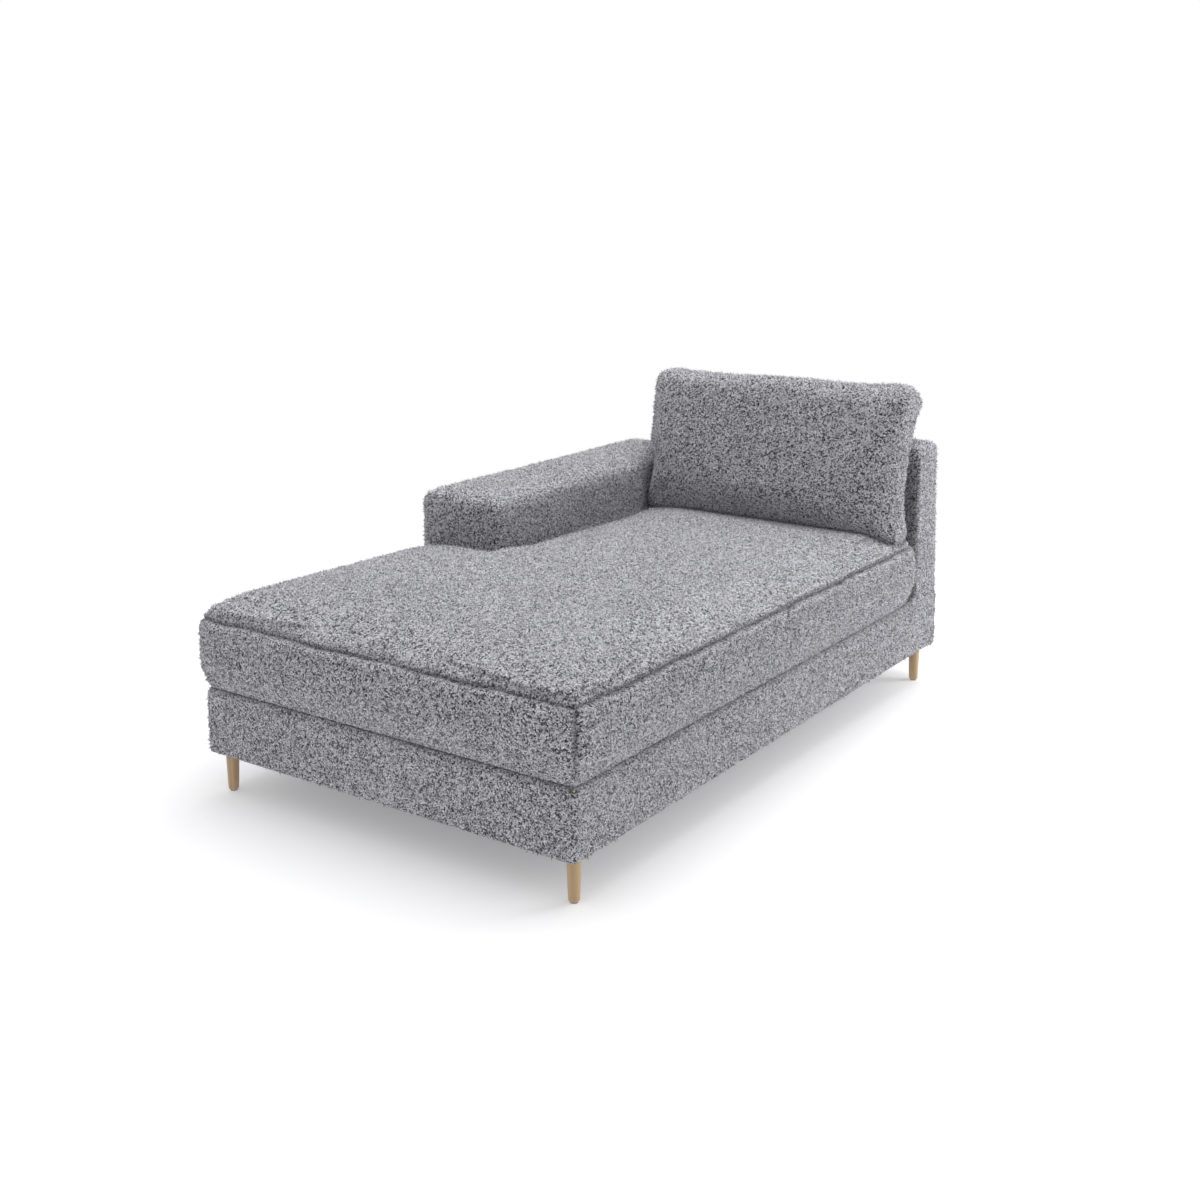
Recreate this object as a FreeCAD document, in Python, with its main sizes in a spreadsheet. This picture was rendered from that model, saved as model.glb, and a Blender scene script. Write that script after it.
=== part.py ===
import FreeCAD, Part
import Sketcher
import math
import os
import re
from FreeCAD import Vector

# Chaise longue with one low arm on the sitter's right, a loose seat cushion, a loose back
# cushion, and an upholstered box base on four turned legs.
# Frame: +Z up, the foot end looks along -Y, the back is at +Y and the arm at -X.
# The origin is the middle of the footprint on the floor. All sizes are in millimetres.

# Driving sizes
SIZES = {
    "base_width": 1000,
    "base_length": 1650,
    "base_height": 146,
    "base_corner": 12,
    "leg_height": 96,
    "leg_inset_side": 33,
    "leg_inset_end": 42,
    "leg_top_radius": 15,
    "leg_foot_radius": 11.5,
    "leg_foot_chamfer": 3,
    "glide_radius": 8,
    "glide_height": 3,
    "fabric": 2.2,
    "lining": 0.8,
    "wadding": 4,
    "hem_width": 20,
    "soft_gap": 0.3,
    "fit_gap": 0.05,
    "rail_gauge": 18,
    "ledger_width": 25,
    "ledger_height": 40,
    "brace_height": 62,
    "block_side": 66,
    "block_height": 60,
    "block_chamfer": 30,
    "bolt_radius": 4,
    "leg_bolt_length": 62,
    "wire_gauge": 4,
    "spring_pitch": 66,
    "spring_width": 104,
    "spring_margin": 62,
    "front_spring_count": 4,
    "rear_spring_count": 4,
    "clip_gauge": 1.2,
    "clip_width": 26,
    "tie_width": 6,
    "tie_gauge": 1.5,
    "pad_gauge": 4,
    "deck_foam_gauge": 7.6,
    "deck_cloth_gauge": 1.2,
    "dust_slot": 12,
    "arm_width": 250,
    "arm_length": 927,
    "arm_height": 331,
    "arm_corner": 24,
    "arm_edge_drop": 55,
    "arm_edge_reach": 66,
    "arm_crown": 7,
    "arm_foam": 10,
    "arm_top_foam": 38,
    "arm_board": 12,
    "back_depth": 125,
    "back_height": 414,
    "back_corner": 12,
    "back_front_round": 18,
    "back_rear_round": 26,
    "back_foam": 8,
    "back_board": 18,
    "hardboard": 3,
    "webbing_width": 60,
    "webbing_gauge": 1.5,
    "webbing_count": 4,
    "fixing_block": 50,
    "fixing_block_depth": 60,
    "screw_length": 55,
    "screw_head": 7.5,
    "screw_head_height": 5.3,
    "seat_boxing": 163,
    "seat_crown": 33,
    "seat_bulge": 30,
    "seat_seam_overhang": 12,
    "seat_corner": 30,
    "seat_free_corner": 46,
    "seat_edge_reach": 50,
    "seat_crown_reach": 170,
    "seat_flat_round": 24,
    "seat_rear_gap": 15,
    "seat_core_height": 140,
    "seat_wrap": 16,
    "back_cushion_length": 382,
    "back_cushion_lean": 14,
    "back_cushion_nod": 34,
    "back_cushion_foot": 68,
    "back_cushion_belly": 128,
    "back_cushion_waist": 104,
    "back_cushion_head": 82,
    "back_cushion_end": 52,
    "back_cushion_crown": 26,
    "back_cushion_dip": 12,
    "back_cushion_corner": 44,
    "back_cushion_shoulder": 36,
    "back_cushion_set": 51,
    "zip_length": 520,
    "zip_tape": 26,
    "zip_tape_gauge": 0.8,
    "zip_chain": 6,
    "zip_chain_height": 1.4,
    "zip_stop": 4,
    "slider_length": 14,
    "slider_gauge": 1.2,
    "pull_length": 26,
    "pull_width": 7,
}

# Places and sizes that follow from the driving ones
DERIVED = {
    "right_x": "base_width / 2",
    "left_x": "-base_width / 2",
    "middle_y": "seat_bulge / 2",
    "front_y": "middle_y - base_length / 2",
    "rear_y": "middle_y + base_length / 2",
    "deck_top": "leg_height + base_height",
    "lining_top": "leg_height + lining",
    "rail_bottom": "lining_top + fabric",
    "rail_top": "deck_top - fabric - soft_gap",
    "rail_height": "rail_top - rail_bottom",
    "rail_inset": "fabric + wadding",
    "rail_inner": "rail_inset + rail_gauge",
    "ledger_top": "rail_top - deck_foam_gauge - pad_gauge - wire_gauge - 2 * clip_gauge + soft_gap",
    "ledger_inner": "rail_inner + ledger_width",
    "arm_front_y": "rear_y - arm_length",
    "arm_inner_x": "left_x + arm_width",
    "arm_base": "deck_top + soft_gap",
    "arm_top": "deck_top + arm_height",
    "back_front_y": "rear_y - back_depth",
    "back_left_x": "arm_inner_x + soft_gap",
    "back_top": "deck_top + back_height",
    "seat_bottom": "deck_top + soft_gap",
    "seat_seam": "seat_bottom + seat_boxing",
    "seat_top": "seat_seam + seat_crown",
    "seat_rear_y": "back_front_y - seat_rear_gap",
    "seat_inner_x": "arm_inner_x + soft_gap",
    "seat_notch_y": "arm_front_y - soft_gap",
    "cushion_bottom": "seat_top + soft_gap",
    "leg_x": "base_width / 2 - leg_inset_side",
    "leg_y": "base_length / 2 - leg_inset_end",
    "mid_rail_y": "arm_front_y - rail_gauge",
    "arm_rail_x": "arm_inner_x - rail_gauge / 2",
    "block_top": "rail_top - fit_gap",
}

doc = FreeCAD.newDocument("chaise_longue")
sheet = doc.addObject("Spreadsheet::Sheet", "Sizes")
for row, (alias, number) in enumerate(SIZES.items(), start=1):
    sheet.set(f"A{row}", alias)
    sheet.set(f"B{row}", str(number))
    sheet.setAlias(f"B{row}", alias)
doc.recompute()


def bound(text):
    """The expression with every size tied to its cell in the sheet."""
    def cell(match):
        word = match.group()
        if word in DERIVED:
            return "(" + bound(DERIVED[word]) + ")"
        return "Sizes." + word if word in SIZES else word
    return re.sub(r"[a-z][a-z_]*", cell, str(text))


def value(text):
    """The expression's value now, for shapes that are worked out in code."""
    return float(sheet.evalExpression(bound(text)))


def place(piece, x, y, z):
    """Ties a piece's place to the sheet."""
    for axis, text in zip("xyz", (x, y, z)):
        piece.setExpression(f"Placement.Base.{axis}", bound(text))
    return piece


def new_body(label):
    """An empty body with its own label."""
    body = doc.addObject("PartDesign::Body", label)
    body.Label = label
    return body


def new_sketch(body, role, name):
    """A sketch on one of the body's own origin planes."""
    plane = next(f for f in body.Origin.OriginFeatures if f.Role == role)
    sketch = body.newObject("Sketcher::SketchObject", f"{body.Label}_{name}")
    sketch.AttachmentSupport = [(plane, "")]
    sketch.MapMode = "FlatFace"
    return sketch


def pin(sketch, edge, point, u, v):
    """Holds a sketch point at bound distances from the sketch's origin."""
    for kind, text in (("DistanceX", u), ("DistanceY", v)):
        index = sketch.addConstraint(Sketcher.Constraint(kind, -1, 1, edge, point, value(text)))
        sketch.setExpression(f"Constraints[{index}]", bound(text))


def outline_sketch(body, role, name, outline):
    """A closed outline of straight lines whose corners are bound to the sheet."""
    sketch = new_sketch(body, role, name)
    corners = [Vector(value(u), value(v), 0) for u, v in outline]
    count = len(corners)
    for i in range(count):
        sketch.addGeometry(Part.LineSegment(corners[i], corners[(i + 1) % count]), False)
    for i in range(count):
        sketch.addConstraint(Sketcher.Constraint("Coincident", i, 2, (i + 1) % count, 1))
        pin(sketch, i, 1, *outline[i])
    return sketch


def circles_sketch(body, role, name, centres, radius):
    """Equal circles at bound places."""
    sketch = new_sketch(body, role, name)
    for i, (u, v) in enumerate(centres):
        circle = Part.Circle(Vector(value(u), value(v), 0), Vector(0, 0, 1), value(radius))
        sketch.addGeometry(circle, False)
        pin(sketch, i, 3, u, v)
        index = sketch.addConstraint(Sketcher.Constraint("Radius", i, value(radius)))
        sketch.setExpression(f"Constraints[{index}]", bound(radius))
    return sketch


def pad(body, sketch, length, backwards=False):
    """Pushes a sketch out by a bound length."""
    feature = body.newObject("PartDesign::Pad", f"{sketch.Name}_pad")
    feature.Profile = sketch
    feature.setExpression("Length", bound(length))
    feature.Reversed = backwards
    sketch.Visibility = False
    return feature


def cut_through(body, sketch):
    """Cuts a sketch right through the body, both ways."""
    feature = body.newObject("PartDesign::Pocket", f"{sketch.Name}_pocket")
    feature.Profile = sketch
    feature.Type = "ThroughAll"
    feature.Midplane = True
    return feature


def board(label, role, outline, gauge, at, holes=(), hole_radius="bolt_radius + fit_gap"):
    """A board cut to an outline, with round holes where fixings pass."""
    body = new_body(label)
    pad(body, outline_sketch(body, role, "outline", outline), gauge, backwards=role == "XZ_Plane")
    if holes:
        cut_through(body, circles_sketch(body, role, "holes", holes, hole_radius))
    return place(body, *at)


def rectangle(length, height):
    """A rectangular outline with its corner at the sketch's origin."""
    return [("0", "0"), (length, "0"), (length, height), ("0", height)]


def turned(label, profile, at):
    """A piece turned about its upright axis from a half profile of (radius, height) points."""
    body = new_body(label)
    sketch = outline_sketch(body, "XZ_Plane", "profile", profile)
    feature = body.newObject("PartDesign::Revolution", f"{label}_turn")
    feature.Profile = sketch
    feature.ReferenceAxis = (sketch, ["V_Axis"])
    feature.Angle = 360
    return place(body, *at)


def shape_node(label, solids):
    """A piece, or a group of like pieces, whose shape is worked out in code."""
    solids = solids if isinstance(solids, list) else [solids]
    piece = doc.addObject("Part::Feature", label)
    piece.Label = label
    piece.Shape = solids[0] if len(solids) == 1 else Part.makeCompound(solids)
    return piece


def flat_face(points):
    """A flat face inside straight lines between points."""
    return Part.Face(Part.makePolygon(points + points[:1]))


def curved_face(start, *steps):
    """A flat face inside lines and arcs; a step is an end, or a pair of a point passed and an end."""
    edges, here = [], start
    for step in steps:
        if isinstance(step, tuple):
            through, end = step
            edges.append(Part.Arc(here, through, end).toShape())
        else:
            end = step
            edges.append(Part.LineSegment(here, end).toShape())
        here = end
    return Part.Face(Part.Wire(edges))


def upright(x, y, low, high, radius):
    """A plain upright round bar, or the waste of a round hole."""
    return Part.makeCylinder(radius, high - low, Vector(x, y, low))


def rounded_wire(corners, z):
    """A level closed wire round (x, y, radius) corners, each rounded by one arc or left sharp."""
    edges, ends = [], []
    count = len(corners)
    for i, (x, y, radius) in enumerate(corners):
        here = Vector(x, y, z)
        before = Vector(corners[i - 1][0] - x, corners[i - 1][1] - y, 0).normalize()
        after = Vector(corners[(i + 1) % count][0] - x, corners[(i + 1) % count][1] - y, 0).normalize()
        half_turn = before.getAngle(after) / 2
        start = here + before * (radius / math.tan(half_turn))
        end = here + after * (radius / math.tan(half_turn))
        inward = (before + after).normalize()
        middle = here + inward * (radius / math.sin(half_turn) - radius)
        ends.append((start, middle, end))
    for i, (start, middle, end) in enumerate(ends):
        if corners[i][2] > 0:
            edges.append(Part.Arc(start, middle, end).toShape())
        edges.append(Part.LineSegment(end, ends[(i + 1) % count][0]).toShape())
    return Part.Wire(edges)


def prism(corners, low, high):
    """An upright solid between two levels round (x, y, radius) corners."""
    return Part.Face(rounded_wire(corners, low)).extrude(Vector(0, 0, high - low))


def box_corners(x0, x1, y0, y1, radius):
    """The corners of a rounded rectangle."""
    return [(x0, y0, radius), (x1, y0, radius), (x1, y1, radius), (x0, y1, radius)]


def block(label, at, lengths):
    """A plain rectangular piece."""
    piece = doc.addObject("Part::Box", label)
    piece.Label = label
    for side, text in zip(("Length", "Width", "Height"), lengths):
        piece.setExpression(side, bound(text))
    return place(piece, *at)


# Legs: turned oak, tapering to a chamfered foot on a felt glide, each held by a hanger bolt
# that goes up into the corner block
leg_profile = [
    ("0", "glide_height"),
    ("leg_foot_radius - leg_foot_chamfer", "glide_height"),
    ("leg_foot_radius", "glide_height + leg_foot_chamfer"),
    ("leg_top_radius", "leg_height"),
    ("bolt_radius + fit_gap", "leg_height"),
    ("bolt_radius + fit_gap", "leg_height - leg_bolt_length / 2"),
    ("0", "leg_height - leg_bolt_length / 2"),
]
leg_spots = []
for label, y in (("legs_front", "middle_y - leg_y"), ("legs_rear", "middle_y + leg_y")):
    pair = doc.addObject("Part::Compound", label)
    pair.Label = label
    pair.Links = [turned(f"{label}_{side}", leg_profile, (x, y, "0"))
                  for side, x in (("left", "-leg_x"), ("right", "leg_x"))]
    leg_spots += [(value(x), value(y)) for x in ("-leg_x", "leg_x")]

glide_top = value("glide_height")
bolt_low, bolt_high = value("leg_height - leg_bolt_length / 2"), value("leg_height + leg_bolt_length / 2")
bolt_hole = value("bolt_radius + fit_gap")
shape_node("leg_glides", [upright(x, y, 0, glide_top, value("glide_radius")) for x, y in leg_spots])
shape_node("leg_hanger_bolts", [
    upright(x, y, bolt_low, bolt_high, value("bolt_radius")) for x, y in leg_spots])

# Corner blocks: glued into the corners of the rails and drilled for the leg bolts
corner_blocks = []
block_low, block_high = value("lining_top"), value("lining_top + block_height")
for side in (-1, 1):
    for end in (-1, 1):
        edge_x = side * (value("right_x") - value("rail_inner"))
        edge_y = end * (value("base_length") / 2 - value("rail_inner")) + value("middle_y")
        reach, short = value("block_side"), value("block_chamfer")
        plan = [(0, 0), (reach, 0), (reach, reach - short), (reach - short, reach), (0, reach)]
        points = [Vector(edge_x - side * u, edge_y - end * v, block_low) for u, v in plan]
        x, y = side * value("leg_x"), end * value("leg_y") + value("middle_y")
        solid = flat_face(points).extrude(Vector(0, 0, block_high - block_low))
        corner_blocks.append(solid.cut(upright(x, y, block_low, bolt_high, bolt_hole)))
shape_node("corner_blocks", corner_blocks)

# Base frame: plywood side, front and rear rails, a rail under the arm's front end, a rail
# under the arm's inner side, and low braces below the springs
side_rail_length = "base_length - 2 * rail_inset"
end_rail_length = "base_width - 2 * rail_inner"
board("base_rail_left", "YZ_Plane", rectangle(side_rail_length, "rail_height"), "rail_gauge",
      ("left_x + rail_inset", "front_y + rail_inset", "rail_bottom"))
board("base_rail_right", "YZ_Plane", rectangle(side_rail_length, "rail_height"), "rail_gauge",
      ("right_x - rail_inner", "front_y + rail_inset", "rail_bottom"))
board("base_rail_front", "XZ_Plane", rectangle(end_rail_length, "rail_height"), "rail_gauge",
      ("left_x + rail_inner", "front_y + rail_inset", "rail_bottom"))
board("base_rail_rear", "XZ_Plane", rectangle(end_rail_length, "rail_height"), "rail_gauge",
      ("left_x + rail_inner", "rear_y - rail_inner", "rail_bottom"))
board("base_rail_middle", "XZ_Plane", rectangle(end_rail_length, "rail_height"), "rail_gauge",
      ("left_x + rail_inner", "mid_rail_y", "rail_bottom"))
board("base_rail_arm", "YZ_Plane",
      rectangle("rear_y - rail_inner - mid_rail_y - rail_gauge", "rail_height"), "rail_gauge",
      ("arm_rail_x", "mid_rail_y + rail_gauge", "rail_bottom"))
board("base_brace_front", "XZ_Plane", rectangle(end_rail_length, "brace_height"), "rail_gauge",
      ("left_x + rail_inner", "(front_y + mid_rail_y) / 2", "rail_bottom"))
board("base_brace_rear", "XZ_Plane",
      rectangle("right_x - rail_inner - arm_rail_x - rail_gauge", "brace_height"), "rail_gauge",
      ("arm_rail_x + rail_gauge", "(rear_y + mid_rail_y) / 2", "rail_bottom"))

# Spring ledgers: battens inside the rails that the spring clips are stapled to
front_field = "mid_rail_y - front_y - rail_inner"
rear_field = "seat_rear_y - mid_rail_y - rail_gauge"
ledger_low = "ledger_top - ledger_height"
block("ledger_left", ("left_x + rail_inner", "front_y + rail_inner", ledger_low),
      ("ledger_width", front_field, "ledger_height"))
block("ledger_right_front", ("right_x - ledger_inner", "front_y + rail_inner", ledger_low),
      ("ledger_width", front_field, "ledger_height"))
block("ledger_right_rear", ("right_x - ledger_inner", "mid_rail_y + rail_gauge", ledger_low),
      ("ledger_width", rear_field, "ledger_height"))
block("ledger_arm", ("arm_rail_x + rail_gauge", "mid_rail_y + rail_gauge", ledger_low),
      ("ledger_width", rear_field, "ledger_height"))


def wire_outline(path, half):
    """The outline of a flat bent wire: its path set off to both sides, mitred at each bend."""
    rows = ([], [])
    for i, point in enumerate(path):
        before = (point - path[max(i - 1, 0)]) if i else path[1] - path[0]
        after = (path[i + 1] - point) if i < len(path) - 1 else before
        before, after = before.normalize(), after.normalize()
        across = Vector(-before.y - after.y, before.x + after.x, 0).normalize()
        spread = half / across.dot(Vector(-after.y, after.x, 0))
        for row, side in zip(rows, (1, -1)):
            row.append(point + across * (spread * side))
    return rows[0] + rows[1][::-1]


def spring_solid(left, right, y):
    """One sinuous spring: cross legs joined by bends, as one flat bent wire."""
    wire, level = value("wire_gauge"), value("ledger_top + clip_gauge")
    legs = 2 * round((right - left) / value("spring_pitch") / 2)
    pitch = (right - left) / legs
    half = value("spring_width") / 2 - pitch / 2
    path = [Vector(left, y - half, level)]
    for leg in range(legs + 1):
        x, side = left + leg * pitch, 1 if leg % 2 == 0 else -1
        path.append(Vector(x, y + side * half, level))
        if leg < legs:
            path.append(Vector(x + pitch / 2, y + side * (half + pitch / 2), level))
            path.append(Vector(x + pitch, y + side * half, level))
    path = [point for i, point in enumerate(path) if i == 0 or point.distanceToPoint(path[i - 1]) > wire]
    return flat_face(wire_outline(path, wire / 2)).extrude(Vector(0, 0, wire))


def clip_solid(x, y, outward):
    """A folded strip whose bend holds a spring's end leg, with both leaves lying outward."""
    wire, gauge = value("wire_gauge"), value("clip_gauge")
    fold = wire / 2 + value("fit_gap")
    leaf = value("ledger_width") / 2 - fold
    base = value("ledger_top")
    profile = [
        (leaf, 0), (-fold - gauge, 0), (-fold - gauge, wire + 2 * gauge),
        (leaf, wire + 2 * gauge), (leaf, wire + gauge), (-fold, wire + gauge),
        (-fold, gauge), (leaf, gauge),
    ]
    half = value("clip_width") / 2
    points = [Vector(x + outward * u, y - half, base + z) for u, z in profile]
    return flat_face(points).extrude(Vector(0, 2 * half, 0))


# Springs: sinuous wire from ledger to ledger, in a wide front field and a narrower rear one
spring_right = value("right_x - rail_inner - ledger_width / 2")
fields = [
    (value("left_x + rail_inner + ledger_width / 2"), value("front_y + rail_inner"),
     value("mid_rail_y"), int(value("front_spring_count"))),
    (value("arm_rail_x + rail_gauge + ledger_width / 2"), value("mid_rail_y + rail_gauge"),
     value("seat_rear_y"), int(value("rear_spring_count"))),
]
springs, clips = [], []
for spring_left, low, high, count in fields:
    first = low + value("spring_margin")
    step = (high - low - 2 * value("spring_margin")) / (count - 1)
    for i in range(count):
        y = first + i * step
        springs.append(spring_solid(spring_left, spring_right, y))
        clips.append(clip_solid(spring_left, y, -1))
        clips.append(clip_solid(spring_right, y, 1))
shape_node("seat_springs", springs)
shape_node("spring_clips", clips)

# Tie straps: two thin steel straps under each field's springs, from rail to rail
tie_width, tie_gauge = value("tie_width"), value("tie_gauge")
tie_level = value("ledger_top + clip_gauge - tie_gauge - fit_gap")
ties = []
for (spring_left, low, high, count), end in zip(fields, ("mid_rail_y", "rear_y - rail_inner")):
    for share in (1 / 3, 2 / 3):
        x = spring_left + (spring_right - spring_left) * share - tie_width / 2
        ties.append(Part.makeBox(tie_width, value(end) - low, tie_gauge, Vector(x, low, tie_level)))
shape_node("spring_tie_straps", ties)


# Deck: felt pads on the springs, thin foam between the rails, and a cloth over all
def deck_slab(inset, edge_left, edge_rear, notch, low, high):
    """A level L: as wide as the base in front of the arm and narrower beside it."""
    x0, x1 = value("left_x") + inset, value("right_x") - inset
    y0, y1 = value("front_y") + inset, value(edge_rear)
    inner = value(edge_left)
    plan = [(x0, y0), (x1, y0), (x1, y1), (inner, y1), (inner, value(notch)), (x0, value(notch))]
    return flat_face([Vector(x, y, low) for x, y in plan]).extrude(Vector(0, 0, high - low))


between_rails = value("rail_inner + fit_gap")
pad_bottom = value("ledger_top + wire_gauge + 2 * clip_gauge + fit_gap")
foam_bottom = pad_bottom + value("pad_gauge + fit_gap")
foam_top = value("deck_top - deck_cloth_gauge - fit_gap")
middle_rail = Part.makeBox(
    value(end_rail_length), value("rail_gauge + 2 * fit_gap"), value("rail_height"),
    Vector(value("left_x + rail_inner"), value("mid_rail_y - fit_gap"), value("rail_bottom + fit_gap")))
field_left, field_notch = "arm_rail_x + rail_gauge + fit_gap", "mid_rail_y - fit_gap"
spring_pad = deck_slab(between_rails, field_left, "seat_rear_y", field_notch,
                       pad_bottom, pad_bottom + value("pad_gauge"))
deck_foam = deck_slab(between_rails, field_left, "seat_rear_y", field_notch, foam_bottom, foam_top)
shape_node("spring_pad", spring_pad.cut(middle_rail).Solids)
shape_node("deck_foam", deck_foam.cut(middle_rail))
shape_node("deck_cloth", deck_slab(value("hem_width + soft_gap"), "arm_rail_x", "back_front_y + hem_width",
                                   "arm_front_y + hem_width", value("deck_top - deck_cloth_gauge"),
                                   value("deck_top")))

# Fixings: hex coach screws that hold the arm and the back down on blocks glued inside the rails
ARM_FIXINGS = [
    ("left_x + rail_inner + fixing_block / 2", "arm_front_y + arm_length / 5"),
    ("left_x + rail_inner + fixing_block / 2", "arm_front_y + 4 * arm_length / 5"),
    ("arm_rail_x - fixing_block / 2", "arm_front_y + arm_length / 2"),
]
BACK_FIXINGS = [
    ("back_left_x + (right_x - back_left_x) / 4", "rear_y - rail_inner - fixing_block / 2"),
    ("back_left_x + 3 * (right_x - back_left_x) / 4", "rear_y - rail_inner - fixing_block / 2"),
]
fixing_low, fixing_high = value("block_top - fixing_block_depth"), value("block_top")
half_block, head_radius = value("fixing_block") / 2, value("screw_head")
blocks, screws = [], []
for spot in ARM_FIXINGS + BACK_FIXINGS:
    x, y = (value(text) for text in spot)
    seat = value("arm_base") + value("arm_board" if spot in ARM_FIXINGS else "back_board")
    tip = seat - value("screw_length")
    solid = Part.makeBox(2 * half_block, 2 * half_block, fixing_high - fixing_low,
                         Vector(x - half_block, y - half_block, fixing_low))
    blocks.append(solid.cut(upright(x, y, tip, fixing_high, bolt_hole)))
    hexagon = [Vector(x + head_radius * math.cos(math.radians(60 * k)),
                      y + head_radius * math.sin(math.radians(60 * k)), seat) for k in range(6)]
    head = flat_face(hexagon).extrude(Vector(0, 0, value("screw_head_height")))
    screws.append(upright(x, y, tip, seat, value("bolt_radius")).fuse(head))
shape_node("fixing_blocks", blocks)
shape_node("fixing_screws", screws)

# Dust cover: a black non-woven sheet under the base, slit square for the leg bolts
dust_inset, slot = 2 * value("fabric"), value("dust_slot")
dust_cover = Part.makeBox(
    value("base_width") - 2 * dust_inset, value("base_length") - 2 * dust_inset, value("lining"),
    Vector(value("left_x") + dust_inset, value("front_y") + dust_inset, value("leg_height")))
for x, y in leg_spots:
    corner = Vector(x - slot / 2, y - slot / 2, 0)
    dust_cover = dust_cover.cut(Part.makeBox(slot, slot, value("deck_top"), corner))
shape_node("dust_cover", dust_cover)


# Base cover: four sewn panels that meet at the corner seams, each turned under the rails at
# the hem and over them at the top, on a layer of wadding
def base_ring(outer, inner, low, high, corner):
    """A band round the base between two insets from its outside face."""
    def plan(inset, radius):
        return box_corners(value("left_x") + inset, value("right_x") - inset,
                           value("front_y") + inset, value("rear_y") - inset, radius)
    return prism(plan(outer, corner), low, high).cut(prism(plan(inner, max(corner - inner, 0)), low, high))


def corner_wedge(name):
    """The share of the base that one side's panel covers, mitred at the corners."""
    x0, x1, y0, y1 = (value(edge) for edge in ("left_x", "right_x", "front_y", "rear_y"))
    out, deep = value("hem_width"), 2 * value("hem_width")
    sides = {
        "front": [(x0 - out, y0 - out), (x1 + out, y0 - out), (x1 - deep, y0 + deep), (x0 + deep, y0 + deep)],
        "rear": [(x0 - out, y1 + out), (x1 + out, y1 + out), (x1 - deep, y1 - deep), (x0 + deep, y1 - deep)],
        "left": [(x0 - out, y0 - out), (x0 + deep, y0 + deep), (x0 + deep, y1 - deep), (x0 - out, y1 + out)],
        "right": [(x1 + out, y0 - out), (x1 - deep, y0 + deep), (x1 - deep, y1 - deep), (x1 + out, y1 + out)],
    }
    points = [Vector(x, y, 0) for x, y in sides[name]]
    return flat_face(points).extrude(Vector(0, 0, value("deck_top")))


skin = value("fabric")
corner_round = value("base_corner")
base_band = base_ring(0, value("hem_width"), value("lining_top"), value("deck_top"), corner_round)
base_hollow = base_ring(skin, 2 * value("hem_width"), value("rail_bottom"), value("deck_top") - skin,
                        corner_round - skin)
base_band = base_band.cut(base_hollow)
wadding_band = base_ring(skin, value("rail_inset"), value("rail_bottom"), value("rail_top"),
                         corner_round - skin)
wadding_band = wadding_band.cut(prism(
    box_corners(value("left_x + rail_inset"), value("right_x - rail_inset"),
                value("front_y + rail_inset"), value("rear_y - rail_inset"), 0),
    value("rail_bottom"), value("rail_top")))
for name in ("front", "rear", "left", "right"):
    shape_node(f"base_cover_{name}", base_band.common(corner_wedge(name)))
shape_node("base_wadding", wadding_band.Solids)


# Arm: a plywood box on its own bottom board, foam all round with a thick soft top, and a
# cover with rounded edges
arm_side = "fabric + arm_foam + soft_gap"
arm_frame_length = "arm_length - 2 * (fabric + arm_foam + soft_gap)"
arm_frame_width = "arm_width - 2 * (fabric + arm_foam + soft_gap)"
arm_frame_top = "arm_top - fabric - arm_top_foam"
arm_x, arm_y = f"left_x + {arm_side}", f"arm_front_y + {arm_side}"
board("arm_bottom_board", "XY_Plane", rectangle(arm_frame_width, arm_frame_length), "arm_board",
      (arm_x, arm_y, "arm_base"),
      [(f"{x} - ({arm_x})", f"{y} - ({arm_y})") for x, y in ARM_FIXINGS])
arm_wall = f"{arm_frame_top} - arm_base - 2 * arm_board"
board("arm_panel_outer", "YZ_Plane", rectangle(arm_frame_length, arm_wall), "arm_board",
      (arm_x, arm_y, "arm_base + arm_board"))
board("arm_panel_inner", "YZ_Plane", rectangle(arm_frame_length, arm_wall), "arm_board",
      (f"{arm_x} + {arm_frame_width} - arm_board", arm_y, "arm_base + arm_board"))
board("arm_front_board", "XZ_Plane", rectangle(f"{arm_frame_width} - 2 * arm_board", arm_wall), "arm_board",
      (f"{arm_x} + arm_board", arm_y, "arm_base + arm_board"))
board("arm_rear_board", "XZ_Plane", rectangle(f"{arm_frame_width} - 2 * arm_board", arm_wall), "arm_board",
      (f"{arm_x} + arm_board", f"{arm_y} + {arm_frame_length} - arm_board", "arm_base + arm_board"))
board("arm_top_board", "XY_Plane", rectangle(arm_frame_width, arm_frame_length), "arm_board",
      (arm_x, arm_y, f"{arm_frame_top} - arm_board"))


def soft_slice(a, b, low, high, crown, at):
    """A slice with upright sides, rolled shoulders and a low crown; at sets a point in its plane."""
    drop, reach = value("arm_edge_drop") - crown, value("arm_edge_reach")
    bend = (drop ** 2 + reach ** 2) / (2 * drop)
    half_turn = math.atan2(drop, reach)
    across, sink = reach - bend * math.sin(half_turn), bend * (1 - math.cos(half_turn))
    foot, shoulder = at(a, low), high - crown
    return curved_face(
        foot, at(b, low), at(b, shoulder - drop),
        (at(b - across, shoulder - sink), at(b - reach, shoulder)),
        (at((a + b) / 2, high), at(a + reach, shoulder)),
        (at(a + across, shoulder - sink), at(a, shoulder - drop)), foot)


def arm_solid(inset):
    """The arm's upholstered form: where a slice across it, one along it and its plan all meet."""
    x0, x1 = value("left_x") + inset, value("arm_inner_x") - inset
    y0, y1 = value("arm_front_y") + inset, value("rear_y") - inset
    low, high, crown = value("arm_base"), value("arm_top") - inset, value("arm_crown")
    across = soft_slice(x0, x1, low, high, crown, lambda x, z: Vector(x, y0, z))
    along = soft_slice(y0, y1, low, high, crown / 4, lambda y, z: Vector(x0, y, z))
    plan = prism(box_corners(x0, x1, y0, y1, value("arm_corner") - inset), low, high)
    return across.extrude(Vector(0, y1 - y0, 0)).common(along.extrude(Vector(x1 - x0, 0, 0))).common(plan)


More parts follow.
